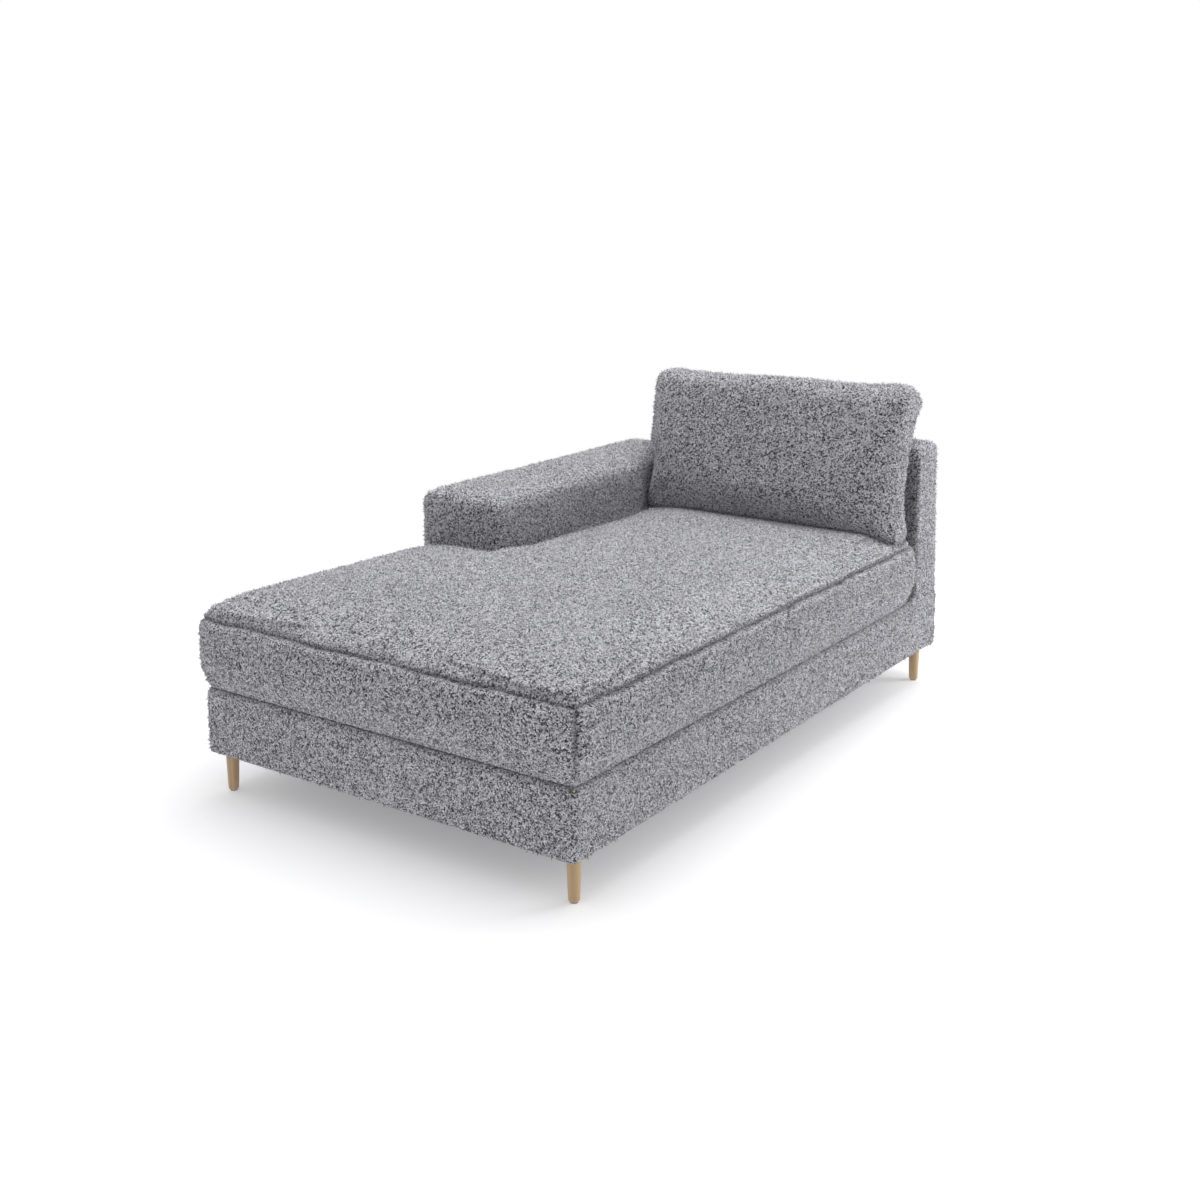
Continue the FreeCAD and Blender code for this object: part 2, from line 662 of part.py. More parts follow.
arm_box = Part.makeBox(value(arm_frame_width), value(arm_frame_length), value(f"{arm_frame_top} - arm_base"),
                       Vector(value(arm_x), value(arm_y), value("arm_base")))
arm_inside = arm_solid(value("fabric"))
shape_node("arm_foam", arm_solid(value("fabric + fit_gap")).cut(arm_box))
shape_node("arm_cover", arm_solid(0).cut(arm_inside))

# Back: three plywood posts between a sill and a top rail, webbing in front, hardboard behind
back_x = "back_left_x + fabric + back_foam"
back_y = "back_front_y + fabric + back_foam + webbing_gauge"
back_frame_rear = "rear_y - fabric - back_foam"
back_frame_depth = f"{back_frame_rear} - ({back_y})"
back_frame_width = "right_x - back_left_x - 2 * (fabric + back_foam)"
back_frame_top = "back_top - fabric - 2 * back_foam"
post_height = f"{back_frame_top} - arm_base - back_board"
board("back_sill", "XY_Plane", rectangle(back_frame_width, back_frame_depth), "back_board",
      (back_x, back_y, "arm_base"),
      [(f"{x} - ({back_x})", f"{y} - ({back_y})") for x, y in BACK_FIXINGS])
post_chamfer = "back_rear_round / 2"
post_outline = [
    ("0", "0"), (back_frame_depth, "0"), (back_frame_depth, f"{post_height} - {post_chamfer}"),
    (f"{back_frame_depth} - {post_chamfer}", post_height), ("0", post_height),
]
low_post = rectangle(back_frame_depth, f"{post_height} - back_board - {post_chamfer}")
board("back_post_left", "YZ_Plane", post_outline, "back_board", (back_x, back_y, "arm_base + back_board"))
board("back_post_right", "YZ_Plane", post_outline, "back_board",
      (f"{back_x} + {back_frame_width} - back_board", back_y, "arm_base + back_board"))
board("back_post_middle", "YZ_Plane", low_post, "back_board",
      (f"{back_x} + ({back_frame_width} - back_board) / 2", back_y, "arm_base + back_board"))
top_rail_outline = [
    ("0", "0"), (back_frame_depth, "0"),
    (f"{back_frame_depth} - {post_chamfer}", f"back_board + {post_chamfer}"),
    ("0", f"back_board + {post_chamfer}"),
]
board("back_top_rail", "YZ_Plane", top_rail_outline, f"{back_frame_width} - 2 * back_board",
      (f"{back_x} + back_board", back_y, f"arm_base + {post_height} - {post_chamfer}"))
block("back_panel", (back_x, back_frame_rear, "arm_base"),
      (back_frame_width, "hardboard", f"{back_frame_top} - arm_base - back_rear_round / 2"))
webbing = []
for i in range(int(value("webbing_count"))):
    share = (i + 1) / (value("webbing_count") + 1)
    x = value(back_x) + share * value(back_frame_width) - value("webbing_width") / 2
    webbing.append(Part.makeBox(
        value("webbing_width"), value("webbing_gauge"), value(f"{back_frame_top} - arm_base"),
        Vector(x, value(back_y) - value("webbing_gauge"), value("arm_base"))))
shape_node("back_webbing", webbing)


def back_solid(inset):
    """The back's upholstered form: an upright slab with rounded top edges and soft corners."""
    x0, x1 = value("back_left_x") + inset, value("right_x") - inset
    y0, y1 = value("back_front_y") + inset, value("rear_y") - inset
    low, high = value("arm_base"), value("back_top") - inset
    corner = value("back_corner") - min(inset, value("back_corner") / 2)
    slab = prism(box_corners(x0, x1, y0, y1, corner), low, high)
    front, rear = value("back_front_round") - inset, value("back_rear_round") - inset
    slack_front, slack_rear = front * (1 - math.sqrt(0.5)), rear * (1 - math.sqrt(0.5))

    def at(y, z):
        return Vector(x0, y, z)
    side = curved_face(
        at(y0, low), at(y1, low), at(y1, high - rear),
        (at(y1 - slack_rear, high - slack_rear), at(y1 - rear, high)), at(y0 + front, high),
        (at(y0 + slack_front, high - slack_front), at(y0, high - front)), at(y0, low))
    return slab.common(side.extrude(Vector(x1 - x0, 0, 0)))


back_box = Part.makeBox(
    value(back_frame_width), value(f"{back_frame_rear} + hardboard - ({back_y}) + webbing_gauge"),
    value(f"{back_frame_top} - arm_base"),
    Vector(value(back_x), value(back_y) - value("webbing_gauge"), value("arm_base")))
shape_node("back_foam", back_solid(value("fabric + fit_gap")).cut(back_box))
shape_node("back_cover", back_solid(0).cut(back_solid(value("fabric"))))


# Seat cushion: an L that fills the deck in front of and beside the arm; its free sides bulge and
# roll under, the top rises from the seam to a crown, and the sides that rest are flat
def seat_corners(out, flat, free_round, round_off):
    """The plan of the cushion, set out from the base by out on its free sides and drawn in by
    flat on the sides that face the arm and the back."""
    x0, x1 = value("left_x") - out, value("right_x") + out
    y0, y1 = value("front_y") - out, value("seat_rear_y") - flat
    inner_x, notch_y = value("seat_inner_x") + flat, value("seat_notch_y") - flat
    return [(x0, y0, free_round), (x1, y0, free_round), (x1, y1, round_off),
            (inner_x, y1, round_off), (inner_x, notch_y, round_off / 4), (x0, notch_y, round_off)]


def free_side(edge, out, inset, at):
    """The edges up a free side, with its foot and its crest: boxing, rolled edge, then crown."""
    low, seam, top = value("seat_bottom") + inset, value("seat_seam"), value("seat_top") - inset
    bulge, overhang, rise = value("seat_bulge"), value("seat_seam_overhang"), top - seam
    roll, crown = value("seat_edge_reach"), value("seat_crown_reach")
    ways = [
        ((bulge, (low + seam) / 2), (overhang, seam)),
        ((overhang - 0.3 * roll, seam + 0.36 * rise), (overhang - roll, seam + 0.72 * rise)),
        ((overhang - (roll + crown) / 2, seam + 0.94 * rise), (overhang - crown, top)),
    ]
    foot = here = at(edge + out * (-0.2 * bulge - inset), low)
    edges = []
    for way in ways:
        through, end = (at(edge + out * (reach - inset), z) for reach, z in way)
        edges.append(Part.Arc(here, through, end).toShape())
        here = end
    return edges, foot, here


def joined(curves, *runs):
    """A flat face inside curved edges and straight runs, each a row of points."""
    lines = [Part.LineSegment(a, b).toShape() for run in runs for a, b in zip(run, run[1:])]
    return Part.Face(Part.Wire(Part.__sortEdges__(curves + lines)))


def seat_solid(inset):
    """The whole cushion drawn in by an inset: its plan, rounded along the resting sides, where
    it meets a slice across the cushion and a slice along it."""
    out, low, top = value("seat_bulge") - inset, value("seat_bottom") + inset, value("seat_top") - inset
    width, length = value("base_width") + 4 * out, value("base_length") + 4 * out
    plan = prism(seat_corners(out, inset, value("seat_free_corner") - inset, value("seat_corner") - inset),
                 low, top)
    rim = [edge for edge in plan.Edges if edge.BoundBox.ZMin > top - 1e-3]
    plan = plan.makeFillet(value("seat_flat_round") - inset, rim)
    near = value("front_y") - 2 * out

    def across(x, z):
        return Vector(x, near, z)
    right, right_foot, right_crest = free_side(value("right_x"), 1, inset, across)
    left, left_foot, left_crest = free_side(value("left_x"), -1, inset, across)
    slice_across = joined(right + left, [right_crest, left_crest], [left_foot, right_foot])

    def along(y, z):
        return Vector(-width / 2, y, z)
    front, front_foot, front_crest = free_side(value("front_y"), -1, inset, along)
    rear = value("seat_rear_y") + out
    slice_along = joined(front, [front_foot, along(rear, low), along(rear, top), front_crest])
    return plan.common(slice_across.extrude(Vector(0, length, 0))).common(
        slice_along.extrude(Vector(width, 0, 0)))


core_wrap = value("seat_wrap")
core_low = value("seat_bottom + fabric") + core_wrap / 2
core = prism(seat_corners(-core_wrap, core_wrap, 0, 0), core_low, core_low + value("seat_core_height"))
shape_node("seat_foam_core", core)
shape_node("seat_fibre_wrap", seat_solid(value("fabric + fit_gap")).cut(core))
shape_node("seat_cushion_cover", seat_solid(0).cut(seat_solid(value("fabric"))))


# Back cushion: a leaning pillow that stands on the seat, fuller at its foot, with a bowed front,
# rounded ends, and a shoulder that sits over the arm
def pillow_side(x, inset):
    """The pillow's slice, drawn upright: straight lower back, nodding head, low belly. Its foot
    reaches below the seat, which then cuts it flat."""
    length, nod = value("back_cushion_length"), value("back_cushion_nod")
    belly, waist, head, foot = (value(f"back_cushion_{zone}") for zone in ("belly", "waist", "head", "foot"))

    def at(forward, rise):
        return Vector(x, -forward, length * rise)
    top = 1 - inset / length
    heel, toe = at(inset, -0.2), at(foot - inset, -0.2)
    return curved_face(
        heel, at(inset, 0.39), (at(inset - 0.25 * nod, 0.65), at(inset - nod, 0.9)),
        (at((head - nod) / 2, top), at(head - inset, 0.88)),
        (at(waist - inset, 0.56), at(belly - 0.03 * belly - inset, 0.25)),
        (at(belly - 0.03 * belly - inset, 0.1), at(foot - inset, -0.05)), toe, heel)


def pillow_front(x0, x1, low, high, corner, y):
    """The pillow seen from the front: rounded upper corners and a dipping top."""
    slack = corner * (1 - math.sqrt(0.5))

    def at(x, z):
        return Vector(x, y, z)
    return curved_face(
        at(x0, low), at(x1, low), at(x1, high - corner),
        (at(x1 - slack, high - slack), at(x1 - corner, high)),
        (at((x0 + x1) / 2, high - value("back_cushion_dip")), at(x0 + corner, high)),
        (at(x0 + slack, high - slack), at(x0, high - corner)), at(x0, low))


def pillow_plan(x0, x1, near, far, end, z):
    """The pillow seen from above: rounded front corners and a front that bows forward."""
    slack, shoulder = end * (1 - math.sqrt(0.5)), near + value("back_cushion_crown")

    def at(x, y):
        return Vector(x, y, z)
    return curved_face(
        at(x0, far), at(x1, far), at(x1, shoulder + end),
        (at(x1 - slack, shoulder + slack), at(x1 - end, shoulder)),
        (at((x0 + x1) / 2, near), at(x0 + end, shoulder)),
        (at(x0 + slack, shoulder + slack), at(x0, shoulder + end)), at(x0, far))


def pillow_solid(inset):
    """The whole pillow drawn in by an inset: where its three outlines meet, leant back, cut flat
    on the seat and cut away where the arm stands."""
    x0, x1 = value("arm_inner_x - back_cushion_shoulder") + inset, value("right_x") - inset
    length, belly, nod = (value(f"back_cushion_{size}") for size in ("length", "belly", "nod"))
    low = -length / 5
    side = pillow_side(x0, inset).extrude(Vector(x1 - x0, 0, 0))
    front = pillow_front(x0, x1, low, length - inset, value("back_cushion_corner") - inset, -2 * belly)
    plan = pillow_plan(x0, x1, inset - belly, 2 * nod, value("back_cushion_end") - inset, low)
    pillow = side.common(front.extrude(Vector(0, 4 * belly, 0)))
    pillow = pillow.common(plan.extrude(Vector(0, 0, 2 * length)))
    pillow.rotate(Vector(), Vector(1, 0, 0), -value("back_cushion_lean"))
    pillow.translate(pillow_foot)
    gap, deep = value("soft_gap") + inset, value("arm_width")
    seat_place = Part.makeBox(4 * deep + x1 - x0, value("base_length"), length,
                              Vector(x0 - deep, 0, value("cushion_bottom") + inset - length))
    arm_place = Part.makeBox(deep, value("base_length"), value("arm_height"),
                             Vector(value("arm_inner_x") + gap - deep, 0, value("deck_top") + gap))
    return pillow.cut(seat_place).cut(arm_place)


pillow_foot = Vector(0, value("seat_rear_y - back_cushion_set"), value("cushion_bottom"))
shape_node("back_cushion_cover", pillow_solid(0).cut(pillow_solid(value("fabric"))))
shape_node("back_cushion_fill", pillow_solid(value("fabric + fit_gap")))


# Zips: a tape with its chain and two end stops, and a slider with a pull that runs along it
def flat_bar(origin, run, across, rise):
    """A bar from its corner: run along X, then across, then risen off the face."""
    corners = [origin, origin + Vector(run, 0, 0), origin + Vector(run, 0, 0) + across, origin + across]
    return flat_face(corners).extrude(rise)


def zip_strip(face, up, start):
    """Tape, chain and stops on a face; face is its outward normal and up runs across the tape."""
    length, tape, gauge = value("zip_length"), value("zip_tape"), value("zip_tape_gauge")
    chain, height, stop = value("zip_chain"), value("zip_chain_height"), value("zip_stop")

    def bar(along, run, across, base, rise):
        origin = start + Vector(along, 0, 0) - up * (across / 2) + face * base
        return flat_bar(origin, run, up * across, face * rise)
    body_tape = bar(0, length, tape, 0, gauge)
    body_chain = bar(stop, length - 2 * stop, chain, gauge, height)
    stops = [bar(along, stop, 2 * chain, gauge, 2 * height) for along in (0, length - stop)]
    return body_tape.fuse([body_chain] + stops)


def zip_slider(face, up, start):
    """A channel that straddles the chain, with a lug and a pull that lies along the tape."""
    gap = value("soft_gap")
    chain, height = value("zip_chain") / 2 + gap, value("zip_chain_height") + gap
    gauge, length = value("slider_gauge"), value("slider_length")
    base = value("zip_tape_gauge") + gap
    profile = [(-chain - gauge, base), (-chain - gauge, base + height + gauge),
               (chain + gauge, base + height + gauge), (chain + gauge, base), (chain, base),
               (chain, base + height), (-chain, base + height), (-chain, base)]
    x = value("zip_length - zip_stop") - gap - length
    points = [start + Vector(x, 0, 0) + up * across + face * rise for across, rise in profile]
    channel = flat_face(points).extrude(Vector(length, 0, 0))
    top = base + height + gauge
    lug_low = start + Vector(x + length / 4, 0, 0) - up * (gauge / 2) + face * top
    lug = flat_bar(lug_low, length / 2, up * gauge, face * gauge)
    wide, long = value("pull_width"), value("pull_length")
    pull_low = start + Vector(x + length / 2 - long, 0, 0) - up * (wide / 2) + face * (top + gauge)
    pull = flat_bar(pull_low, long, up * wide, face * gauge)
    return channel.fuse([lug, pull])


seat_zip_start = Vector(value("(seat_inner_x + right_x) / 2 - zip_length / 2"),
                        value("seat_rear_y"), value("seat_bottom + seat_boxing / 2"))
shape_node("seat_zip", zip_strip(Vector(0, 1, 0), Vector(0, 0, 1), seat_zip_start))
shape_node("seat_zip_slider", zip_slider(Vector(0, 1, 0), Vector(0, 0, 1), seat_zip_start))

lean = math.radians(value("back_cushion_lean"))
rise = Vector(0, math.sin(lean), math.cos(lean))
outward = Vector(0, rise.z, -rise.y)
back_zip_start = pillow_foot + rise * value("zip_tape") + outward * value("soft_gap")
back_zip_start.x = seat_zip_start.x
shape_node("back_zip", zip_strip(outward, rise, back_zip_start))
shape_node("back_zip_slider", zip_slider(outward, rise, back_zip_start))

# Check and write
doc.recompute()
KINDS = ("PartDesign::Body", "Part::Box", "Part::Compound", "Part::Feature")
for item in doc.Objects:
    broken = [state for state in item.State if state in ("Invalid", "Error")]
    assert not broken, f"{item.Label}: {item.State}"
os.makedirs("parts", exist_ok=True)
members = [link for item in doc.Objects if item.TypeId == "Part::Compound" for link in item.Links]
for piece in [item for item in doc.Objects if item.TypeId in KINDS and item not in members]:
    shape = piece.Shape
    assert not shape.isNull() and shape.isValid() and shape.Volume > 0, piece.Label
    shape.exportStep(f"parts/{piece.Label}.step")
    print(f"{piece.Label:24s} {len(shape.Solids):3d} solids {shape.Volume / 1e3:10.1f} cm3")
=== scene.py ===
import math

import bmesh
import bpy
import numpy as np
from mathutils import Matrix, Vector


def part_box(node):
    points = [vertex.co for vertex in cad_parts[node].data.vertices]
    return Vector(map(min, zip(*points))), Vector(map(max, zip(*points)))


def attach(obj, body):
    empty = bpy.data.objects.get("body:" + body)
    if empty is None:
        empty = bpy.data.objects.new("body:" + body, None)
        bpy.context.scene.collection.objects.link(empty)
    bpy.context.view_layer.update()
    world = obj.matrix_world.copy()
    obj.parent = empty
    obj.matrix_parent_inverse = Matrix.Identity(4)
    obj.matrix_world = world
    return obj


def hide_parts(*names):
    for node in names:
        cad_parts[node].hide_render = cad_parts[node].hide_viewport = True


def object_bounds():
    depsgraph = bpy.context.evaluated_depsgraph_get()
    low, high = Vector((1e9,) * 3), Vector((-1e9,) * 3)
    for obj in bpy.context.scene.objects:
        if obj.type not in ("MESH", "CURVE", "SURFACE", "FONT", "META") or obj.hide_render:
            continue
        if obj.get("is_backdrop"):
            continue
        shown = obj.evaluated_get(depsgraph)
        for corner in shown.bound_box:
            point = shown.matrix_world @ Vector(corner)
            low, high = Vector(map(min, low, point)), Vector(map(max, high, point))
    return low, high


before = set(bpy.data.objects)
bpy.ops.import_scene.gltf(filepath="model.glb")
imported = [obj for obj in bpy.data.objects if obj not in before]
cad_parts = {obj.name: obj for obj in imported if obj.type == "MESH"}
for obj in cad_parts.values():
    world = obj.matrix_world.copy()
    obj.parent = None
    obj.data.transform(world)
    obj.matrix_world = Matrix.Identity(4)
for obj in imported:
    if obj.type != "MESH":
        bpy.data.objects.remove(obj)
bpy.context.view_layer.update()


# Legs: four oak legs, turned with a slight taper to a rounded foot and lacquered clear matt.
# A hanger bolt screws each one up into the block in its corner, and a felt glide is glued below.
class Flow:
    """A socket's value on its way through a node tree; sums on it add Math nodes."""

    def __init__(self, nodes, socket):
        self.nodes, self.socket = nodes, socket

    def math(self, operation, *terms):
        made = self.nodes.node("ShaderNodeMath", {"operation": operation}, dict(enumerate(terms)))
        return made["Value"]

    def __add__(self, other):
        return self.math("ADD", self, other)

    def __radd__(self, other):
        return self.math("ADD", other, self)

    def __sub__(self, other):
        return self.math("SUBTRACT", self, other)

    def __rsub__(self, other):
        return self.math("SUBTRACT", other, self)

    def __mul__(self, other):
        return self.math("MULTIPLY", self, other)

    def __rmul__(self, other):
        return self.math("MULTIPLY", other, self)

    def between(self, low, high):
        """Its place from low to high, eased, as 0 to 1."""
        made = self.nodes.node("ShaderNodeMapRange", {"interpolation_type": "SMOOTHSTEP"},
                               {"Value": self, "From Min": low, "From Max": high})
        return made["Result"]


class Nodes:
    """A node tree that is being filled."""

    def __init__(self, tree):
        self.tree = tree

    def node(self, kind, settings=None, inputs=None):
        """Adds a node: its type, then its settings, then the values or links of its sockets."""
        made = self.tree.nodes.new(kind)
        for name, setting in (settings or {}).items():
            if name == "stops":
                ramp = made.color_ramp.elements
                while len(ramp) < len(setting):
                    ramp.new(0.5)
                for stop, (place, colour) in zip(ramp, setting):
                    stop.position, stop.color = place, (*colour, 1)
            else:
                setattr(made, name, setting)
        for key, value in (inputs or {}).items():
            socket = made.inputs[key] if isinstance(key, int) else next(
                s for s in made.inputs if s.enabled and s.name == key)
            if isinstance(value, Flow):
                self.tree.links.new(value.socket, socket)
            else:
                socket.default_value = value
        return {s.name: Flow(self, s) for s in made.outputs if s.enabled}

    def mix(self, factor, first, second):
        """Two colours mixed: the first at 0, the second at 1."""
        return self.node("ShaderNodeMix", {"data_type": "RGBA"},
                         {"Factor": factor, "A": first, "B": second})["Result"]

    def place(self, stretch=(1, 1, 1)):
        """Object coordinates, stretched."""
        where = self.node("ShaderNodeTexCoord")["Object"]
        return self.node("ShaderNodeMapping", {}, {"Vector": where, "Scale": stretch})["Vector"]

    def noise(self, where, scale, detail=2.0):
        return self.node("ShaderNodeTexNoise", {}, {"Vector": where, "Scale": scale, "Detail": detail})

    def bump(self, height, distance, strength=1.0):
        return self.node("ShaderNodeBump", {}, {"Height": height, "Distance": distance,
                                                "Strength": strength})["Normal"]

    def surface(self, **sockets):
        """Ends a material in its shader."""
        named = {name.replace("_", " "): value for name, value in sockets.items()}
        shader = self.node("ShaderNodeBsdfPrincipled", {}, named)["BSDF"]
        self.node("ShaderNodeOutputMaterial", {}, {"Surface": shader})


def finish(name):
    """A new material and its empty node tree."""
    material = bpy.data.materials.new(name)
    material.use_nodes = True
    material.node_tree.nodes.clear()
    return material, Nodes(material.node_tree)


def timber(name, early, late, along, rings=26.0, roughness=0.5, coat=0.0):
    """Sawn or turned wood: growth bands, fibres and pores that run along one axis."""
    wood, t = finish(name)
    stretch = [1.0, 1.0, 1.0]
    stretch[along] = 0.07
    here = t.place(stretch)
    sway = t.noise(here, 9.0, 2.0)["Fac"]
    bands = t.node("ShaderNodeTexWave", {"wave_type": "BANDS", "bands_direction": "DIAGONAL"},
                   {"Vector": here, "Scale": rings, "Distortion": 7.0, "Detail": 2.0,
                    "Detail Scale": 1.4})["Fac"]
    fibre = t.noise(here, 900.0, 3.0)["Fac"]
    pores = t.noise(here, 1600.0, 1.0)["Fac"].between(0.62, 0.72)
    tone = bands * 0.55 + fibre * 0.3 + sway * 0.25
    colour = t.mix(tone, (*early, 1), (*late, 1))
    colour = t.mix(pores * 0.5, colour, (late[0] * 0.5, late[1] * 0.45, late[2] * 0.4, 1))
    t.surface(Base_Color=colour, Roughness=roughness + fibre * 0.15 - 0.07, Coat_Weight=coat,
              Coat_Roughness=0.3, Normal=t.bump(fibre - pores, 0.0002))
    return wood


def piece(name, points, faces, material, body, smooth=True):
    """An object made from points and faces that rides on a body."""
    mesh = bpy.data.meshes.new(name)
    mesh.from_pydata([tuple(p) for p in points], [], faces)
    mesh.materials.append(material)
    mesh.polygons.foreach_set("use_smooth", [smooth] * len(mesh.polygons))
    mesh.validate()
    made = bpy.data.objects.new(name, mesh)
    bpy.context.scene.collection.objects.link(made)
    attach(made, body)
    return made


def dress(material, *nodes):
    """Gives CAD nodes a finish."""
    for node in nodes:
        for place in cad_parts[node].material_slots:
            place.material = material


oak = timber("oak", (0.44, 0.31, 0.165), (0.29, 0.185, 0.09), along=2, coat=0.25)
leg_top, leg_foot, foot_round, leg_sides = 0.015, 0.0115, 0.004, 48
for pair in ("legs_front", "legs_rear"):
    low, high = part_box(pair)
    profile = [(0, low.z), (leg_foot - foot_round, low.z)]
    for step in range(1, 6):
        turn = step * math.pi / 10
        profile.append((leg_foot - foot_round * (1 - math.sin(turn)),
                        low.z + foot_round * (1 - math.cos(turn))))
    for step in range(1, 9):
        up = step / 8
        profile.append((leg_foot + (leg_top - leg_foot) * up ** 0.9,
                        low.z + foot_round + (high.z - low.z - foot_round) * up))
    profile.append((0, high.z))
    points, faces = [], []
    for x in (low.x + leg_top, high.x - leg_top):
        y, start = (low.y + high.y) / 2, len(points)
        for radius, z in profile[1:-1]:
            points += [(x + radius * math.cos(a), y + radius * math.sin(a), z)
                       for a in (math.tau * s / leg_sides for s in range(leg_sides))]
        rings = len(profile) - 2
        for ring in range(rings - 1):
            for s in range(leg_sides):
                a, b = start + ring * leg_sides + s, start + ring * leg_sides + (s + 1) % leg_sides
                faces.append((a, b, b + leg_sides, a + leg_sides))
        faces.append(tuple(start + s for s in reversed(range(leg_sides))))
        faces.append(tuple(start + (rings - 1) * leg_sides + s for s in range(leg_sides)))
    legs = piece("turned_" + pair, points, faces, oak, "frame")
    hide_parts(pair)


# Base frame: rails of pine plywood glued and screwed round the base, ledgers that carry the
# springs, cross braces, and softwood blocks in the corners and where the arm and back screw down.
def cloth_finish(name, light, dark, count, roughness=0.9, depth=0.0003):
    """Plain woven or felted cloth: count yarns to the metre over and under each other."""
    cloth, t = finish(name)
    here = t.place()
    across, along = (t.node("ShaderNodeTexWave", {"bands_direction": way}, {
        "Vector": here, "Scale": count / 20, "Distortion": 0.6, "Detail": 1.0})["Fac"] for way in "XY")
    fluff = t.noise(here, count * 1.5, 3.0)["Fac"]
    weave = across * along * 0.6 + fluff * 0.5
    t.surface(Base_Color=t.mix(weave, (*dark, 1), (*light, 1)), Roughness=roughness,
              Normal=t.bump(weave, depth))
    return cloth


def metal_finish(name, colour, roughness, scale=260.0):
    """Plated steel with fine scratches and a little staining."""
    metal, t = finish(name)
    here = t.place((1, 1, 0.15))
    stain = t.noise(here, scale / 8, 3.0)["Fac"]
    scratch = t.noise(here, scale * 6, 2.0)["Fac"]
    shade = tuple(c * 0.72 for c in colour)
    t.surface(Base_Color=t.mix(stain, (*colour, 1), (*shade, 1)), Metallic=1.0,
              Roughness=roughness + scratch * 0.2 - 0.1, Normal=t.bump(scratch, 0.00005))
    return metal


birch = (0.66, 0.50, 0.31), (0.50, 0.34, 0.19)
pine = (0.74, 0.57, 0.36), (0.60, 0.41, 0.22)
plywood_x = timber("plywood_across", *birch, along=0, rings=14.0, roughness=0.7)
plywood_y = timber("plywood_along", *birch, along=1, rings=14.0, roughness=0.7)
softwood = timber("softwood", *pine, along=2, rings=18.0, roughness=0.75)
felt = cloth_finish("felt", (0.34, 0.33, 0.32), (0.2, 0.19, 0.185), 900, 0.95)
steel = metal_finish("zinc_plate", (0.62, 0.62, 0.6), 0.38)
dress(felt, "leg_glides", "spring_pad")
dress(steel, "leg_hanger_bolts", "fixing_screws", "seat_springs", "spring_clips")
dress(plywood_x, "base_rail_front", "base_rail_middle", "base_rail_rear", "base_brace_front",
      "base_brace_rear")
dress(plywood_y, "base_rail_left", "base_rail_right", "base_rail_arm")
dress(softwood, "corner_blocks", "fixing_blocks")
dress(timber("softwood_along", *pine, along=1, rings=18.0, roughness=0.75),
      "ledger_arm", "ledger_left", "ledger_right_front", "ledger_right_rear")


# Seat deck: sinuous springs clipped to the ledgers, a felt pad and a sheet of foam over them, and
# a taut black deck cloth stapled over the whole, on which the seat cushion rests.
foam = cloth_finish("foam", (0.86, 0.82, 0.68), (0.72, 0.67, 0.53), 700, 0.95)
fibre = cloth_finish("fibre", (0.9, 0.9, 0.88), (0.76, 0.76, 0.75), 300, 0.95, 0.001)
deck = cloth_finish("deck_cloth", (0.15, 0.15, 0.155), (0.07, 0.07, 0.075), 1100)
lining = cloth_finish("lining", (0.06, 0.06, 0.06), (0.025, 0.025, 0.025), 1500)
webbing = cloth_finish("webbing", (0.2, 0.16, 0.12), (0.1, 0.08, 0.06), 900)
dress(webbing, "spring_tie_straps", "back_webbing")
dress(foam, "deck_foam", "seat_foam_core")


def grown(name, mesh, tree, sizes):
    """The object that a node tree makes from a mesh, as a plain mesh. Sizes sets inputs by name."""
    made = bpy.data.objects.new(name, mesh)
    bpy.context.scene.collection.objects.link(made)
    modifier = made.modifiers.new(tree.name, "NODES")
    modifier.node_group = tree
    for socket in tree.interface.items_tree:
        if socket.in_out == "INPUT" and socket.name in sizes:
            modifier[socket.identifier] = sizes[socket.name]
    result = bpy.data.meshes.new_from_object(made.evaluated_get(bpy.context.evaluated_depsgraph_get()))
    made.modifiers.clear()
    made.data = result
    result.name = name
    return made


def taut_sheet(name, left, right, front, rear, z, sag, material, slot, rests_on, *replaced):
    """A cloth stretched over a rectangle and sagging towards its middle, given a little thickness."""
    form = bmesh.new()
    bmesh.ops.create_grid(form, x_segments=48, y_segments=76, size=0.5)
    for v in form.verts:
        u, w = v.co.x + 0.5, v.co.y + 0.5
        belly = (16 * u * w * (1 - u) * (1 - w)) ** 0.6
        v.co = (left + u * (right - left), front + w * (rear - front), z - sag * belly)
    mesh = bpy.data.meshes.new(name)
    form.to_mesh(mesh)
    form.free()
    made = bpy.data.objects.new(name, mesh)
    bpy.context.scene.collection.objects.link(made)
    mesh.materials.append(material)
    cloth = made.modifiers.new("thickness", "SOLIDIFY")
    cloth.thickness, cloth.offset = 0.0007, 0
    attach(made, "frame")
    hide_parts(*replaced)
    return made


deck_low, deck_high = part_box("deck_cloth")
taut_sheet("deck_sheet", deck_low.x, deck_high.x, deck_low.y, deck_high.y, deck_high.z - 0.0005, 0, deck,
           "deck_cloth", ["deck_foam"], "deck_cloth")
dust_low, dust_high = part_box("dust_cover")
dust_inset = 0.014
taut_sheet("dust_sheet", dust_low.x + dust_inset, dust_high.x - dust_inset, dust_low.y + dust_inset,
           dust_high.y - dust_inset, dust_high.z - 0.0004, 0.003, lining, "lining",
           ["base_rail_left", "base_rail_right", "base_rail_front", "base_rail_rear"], "dust_cover")


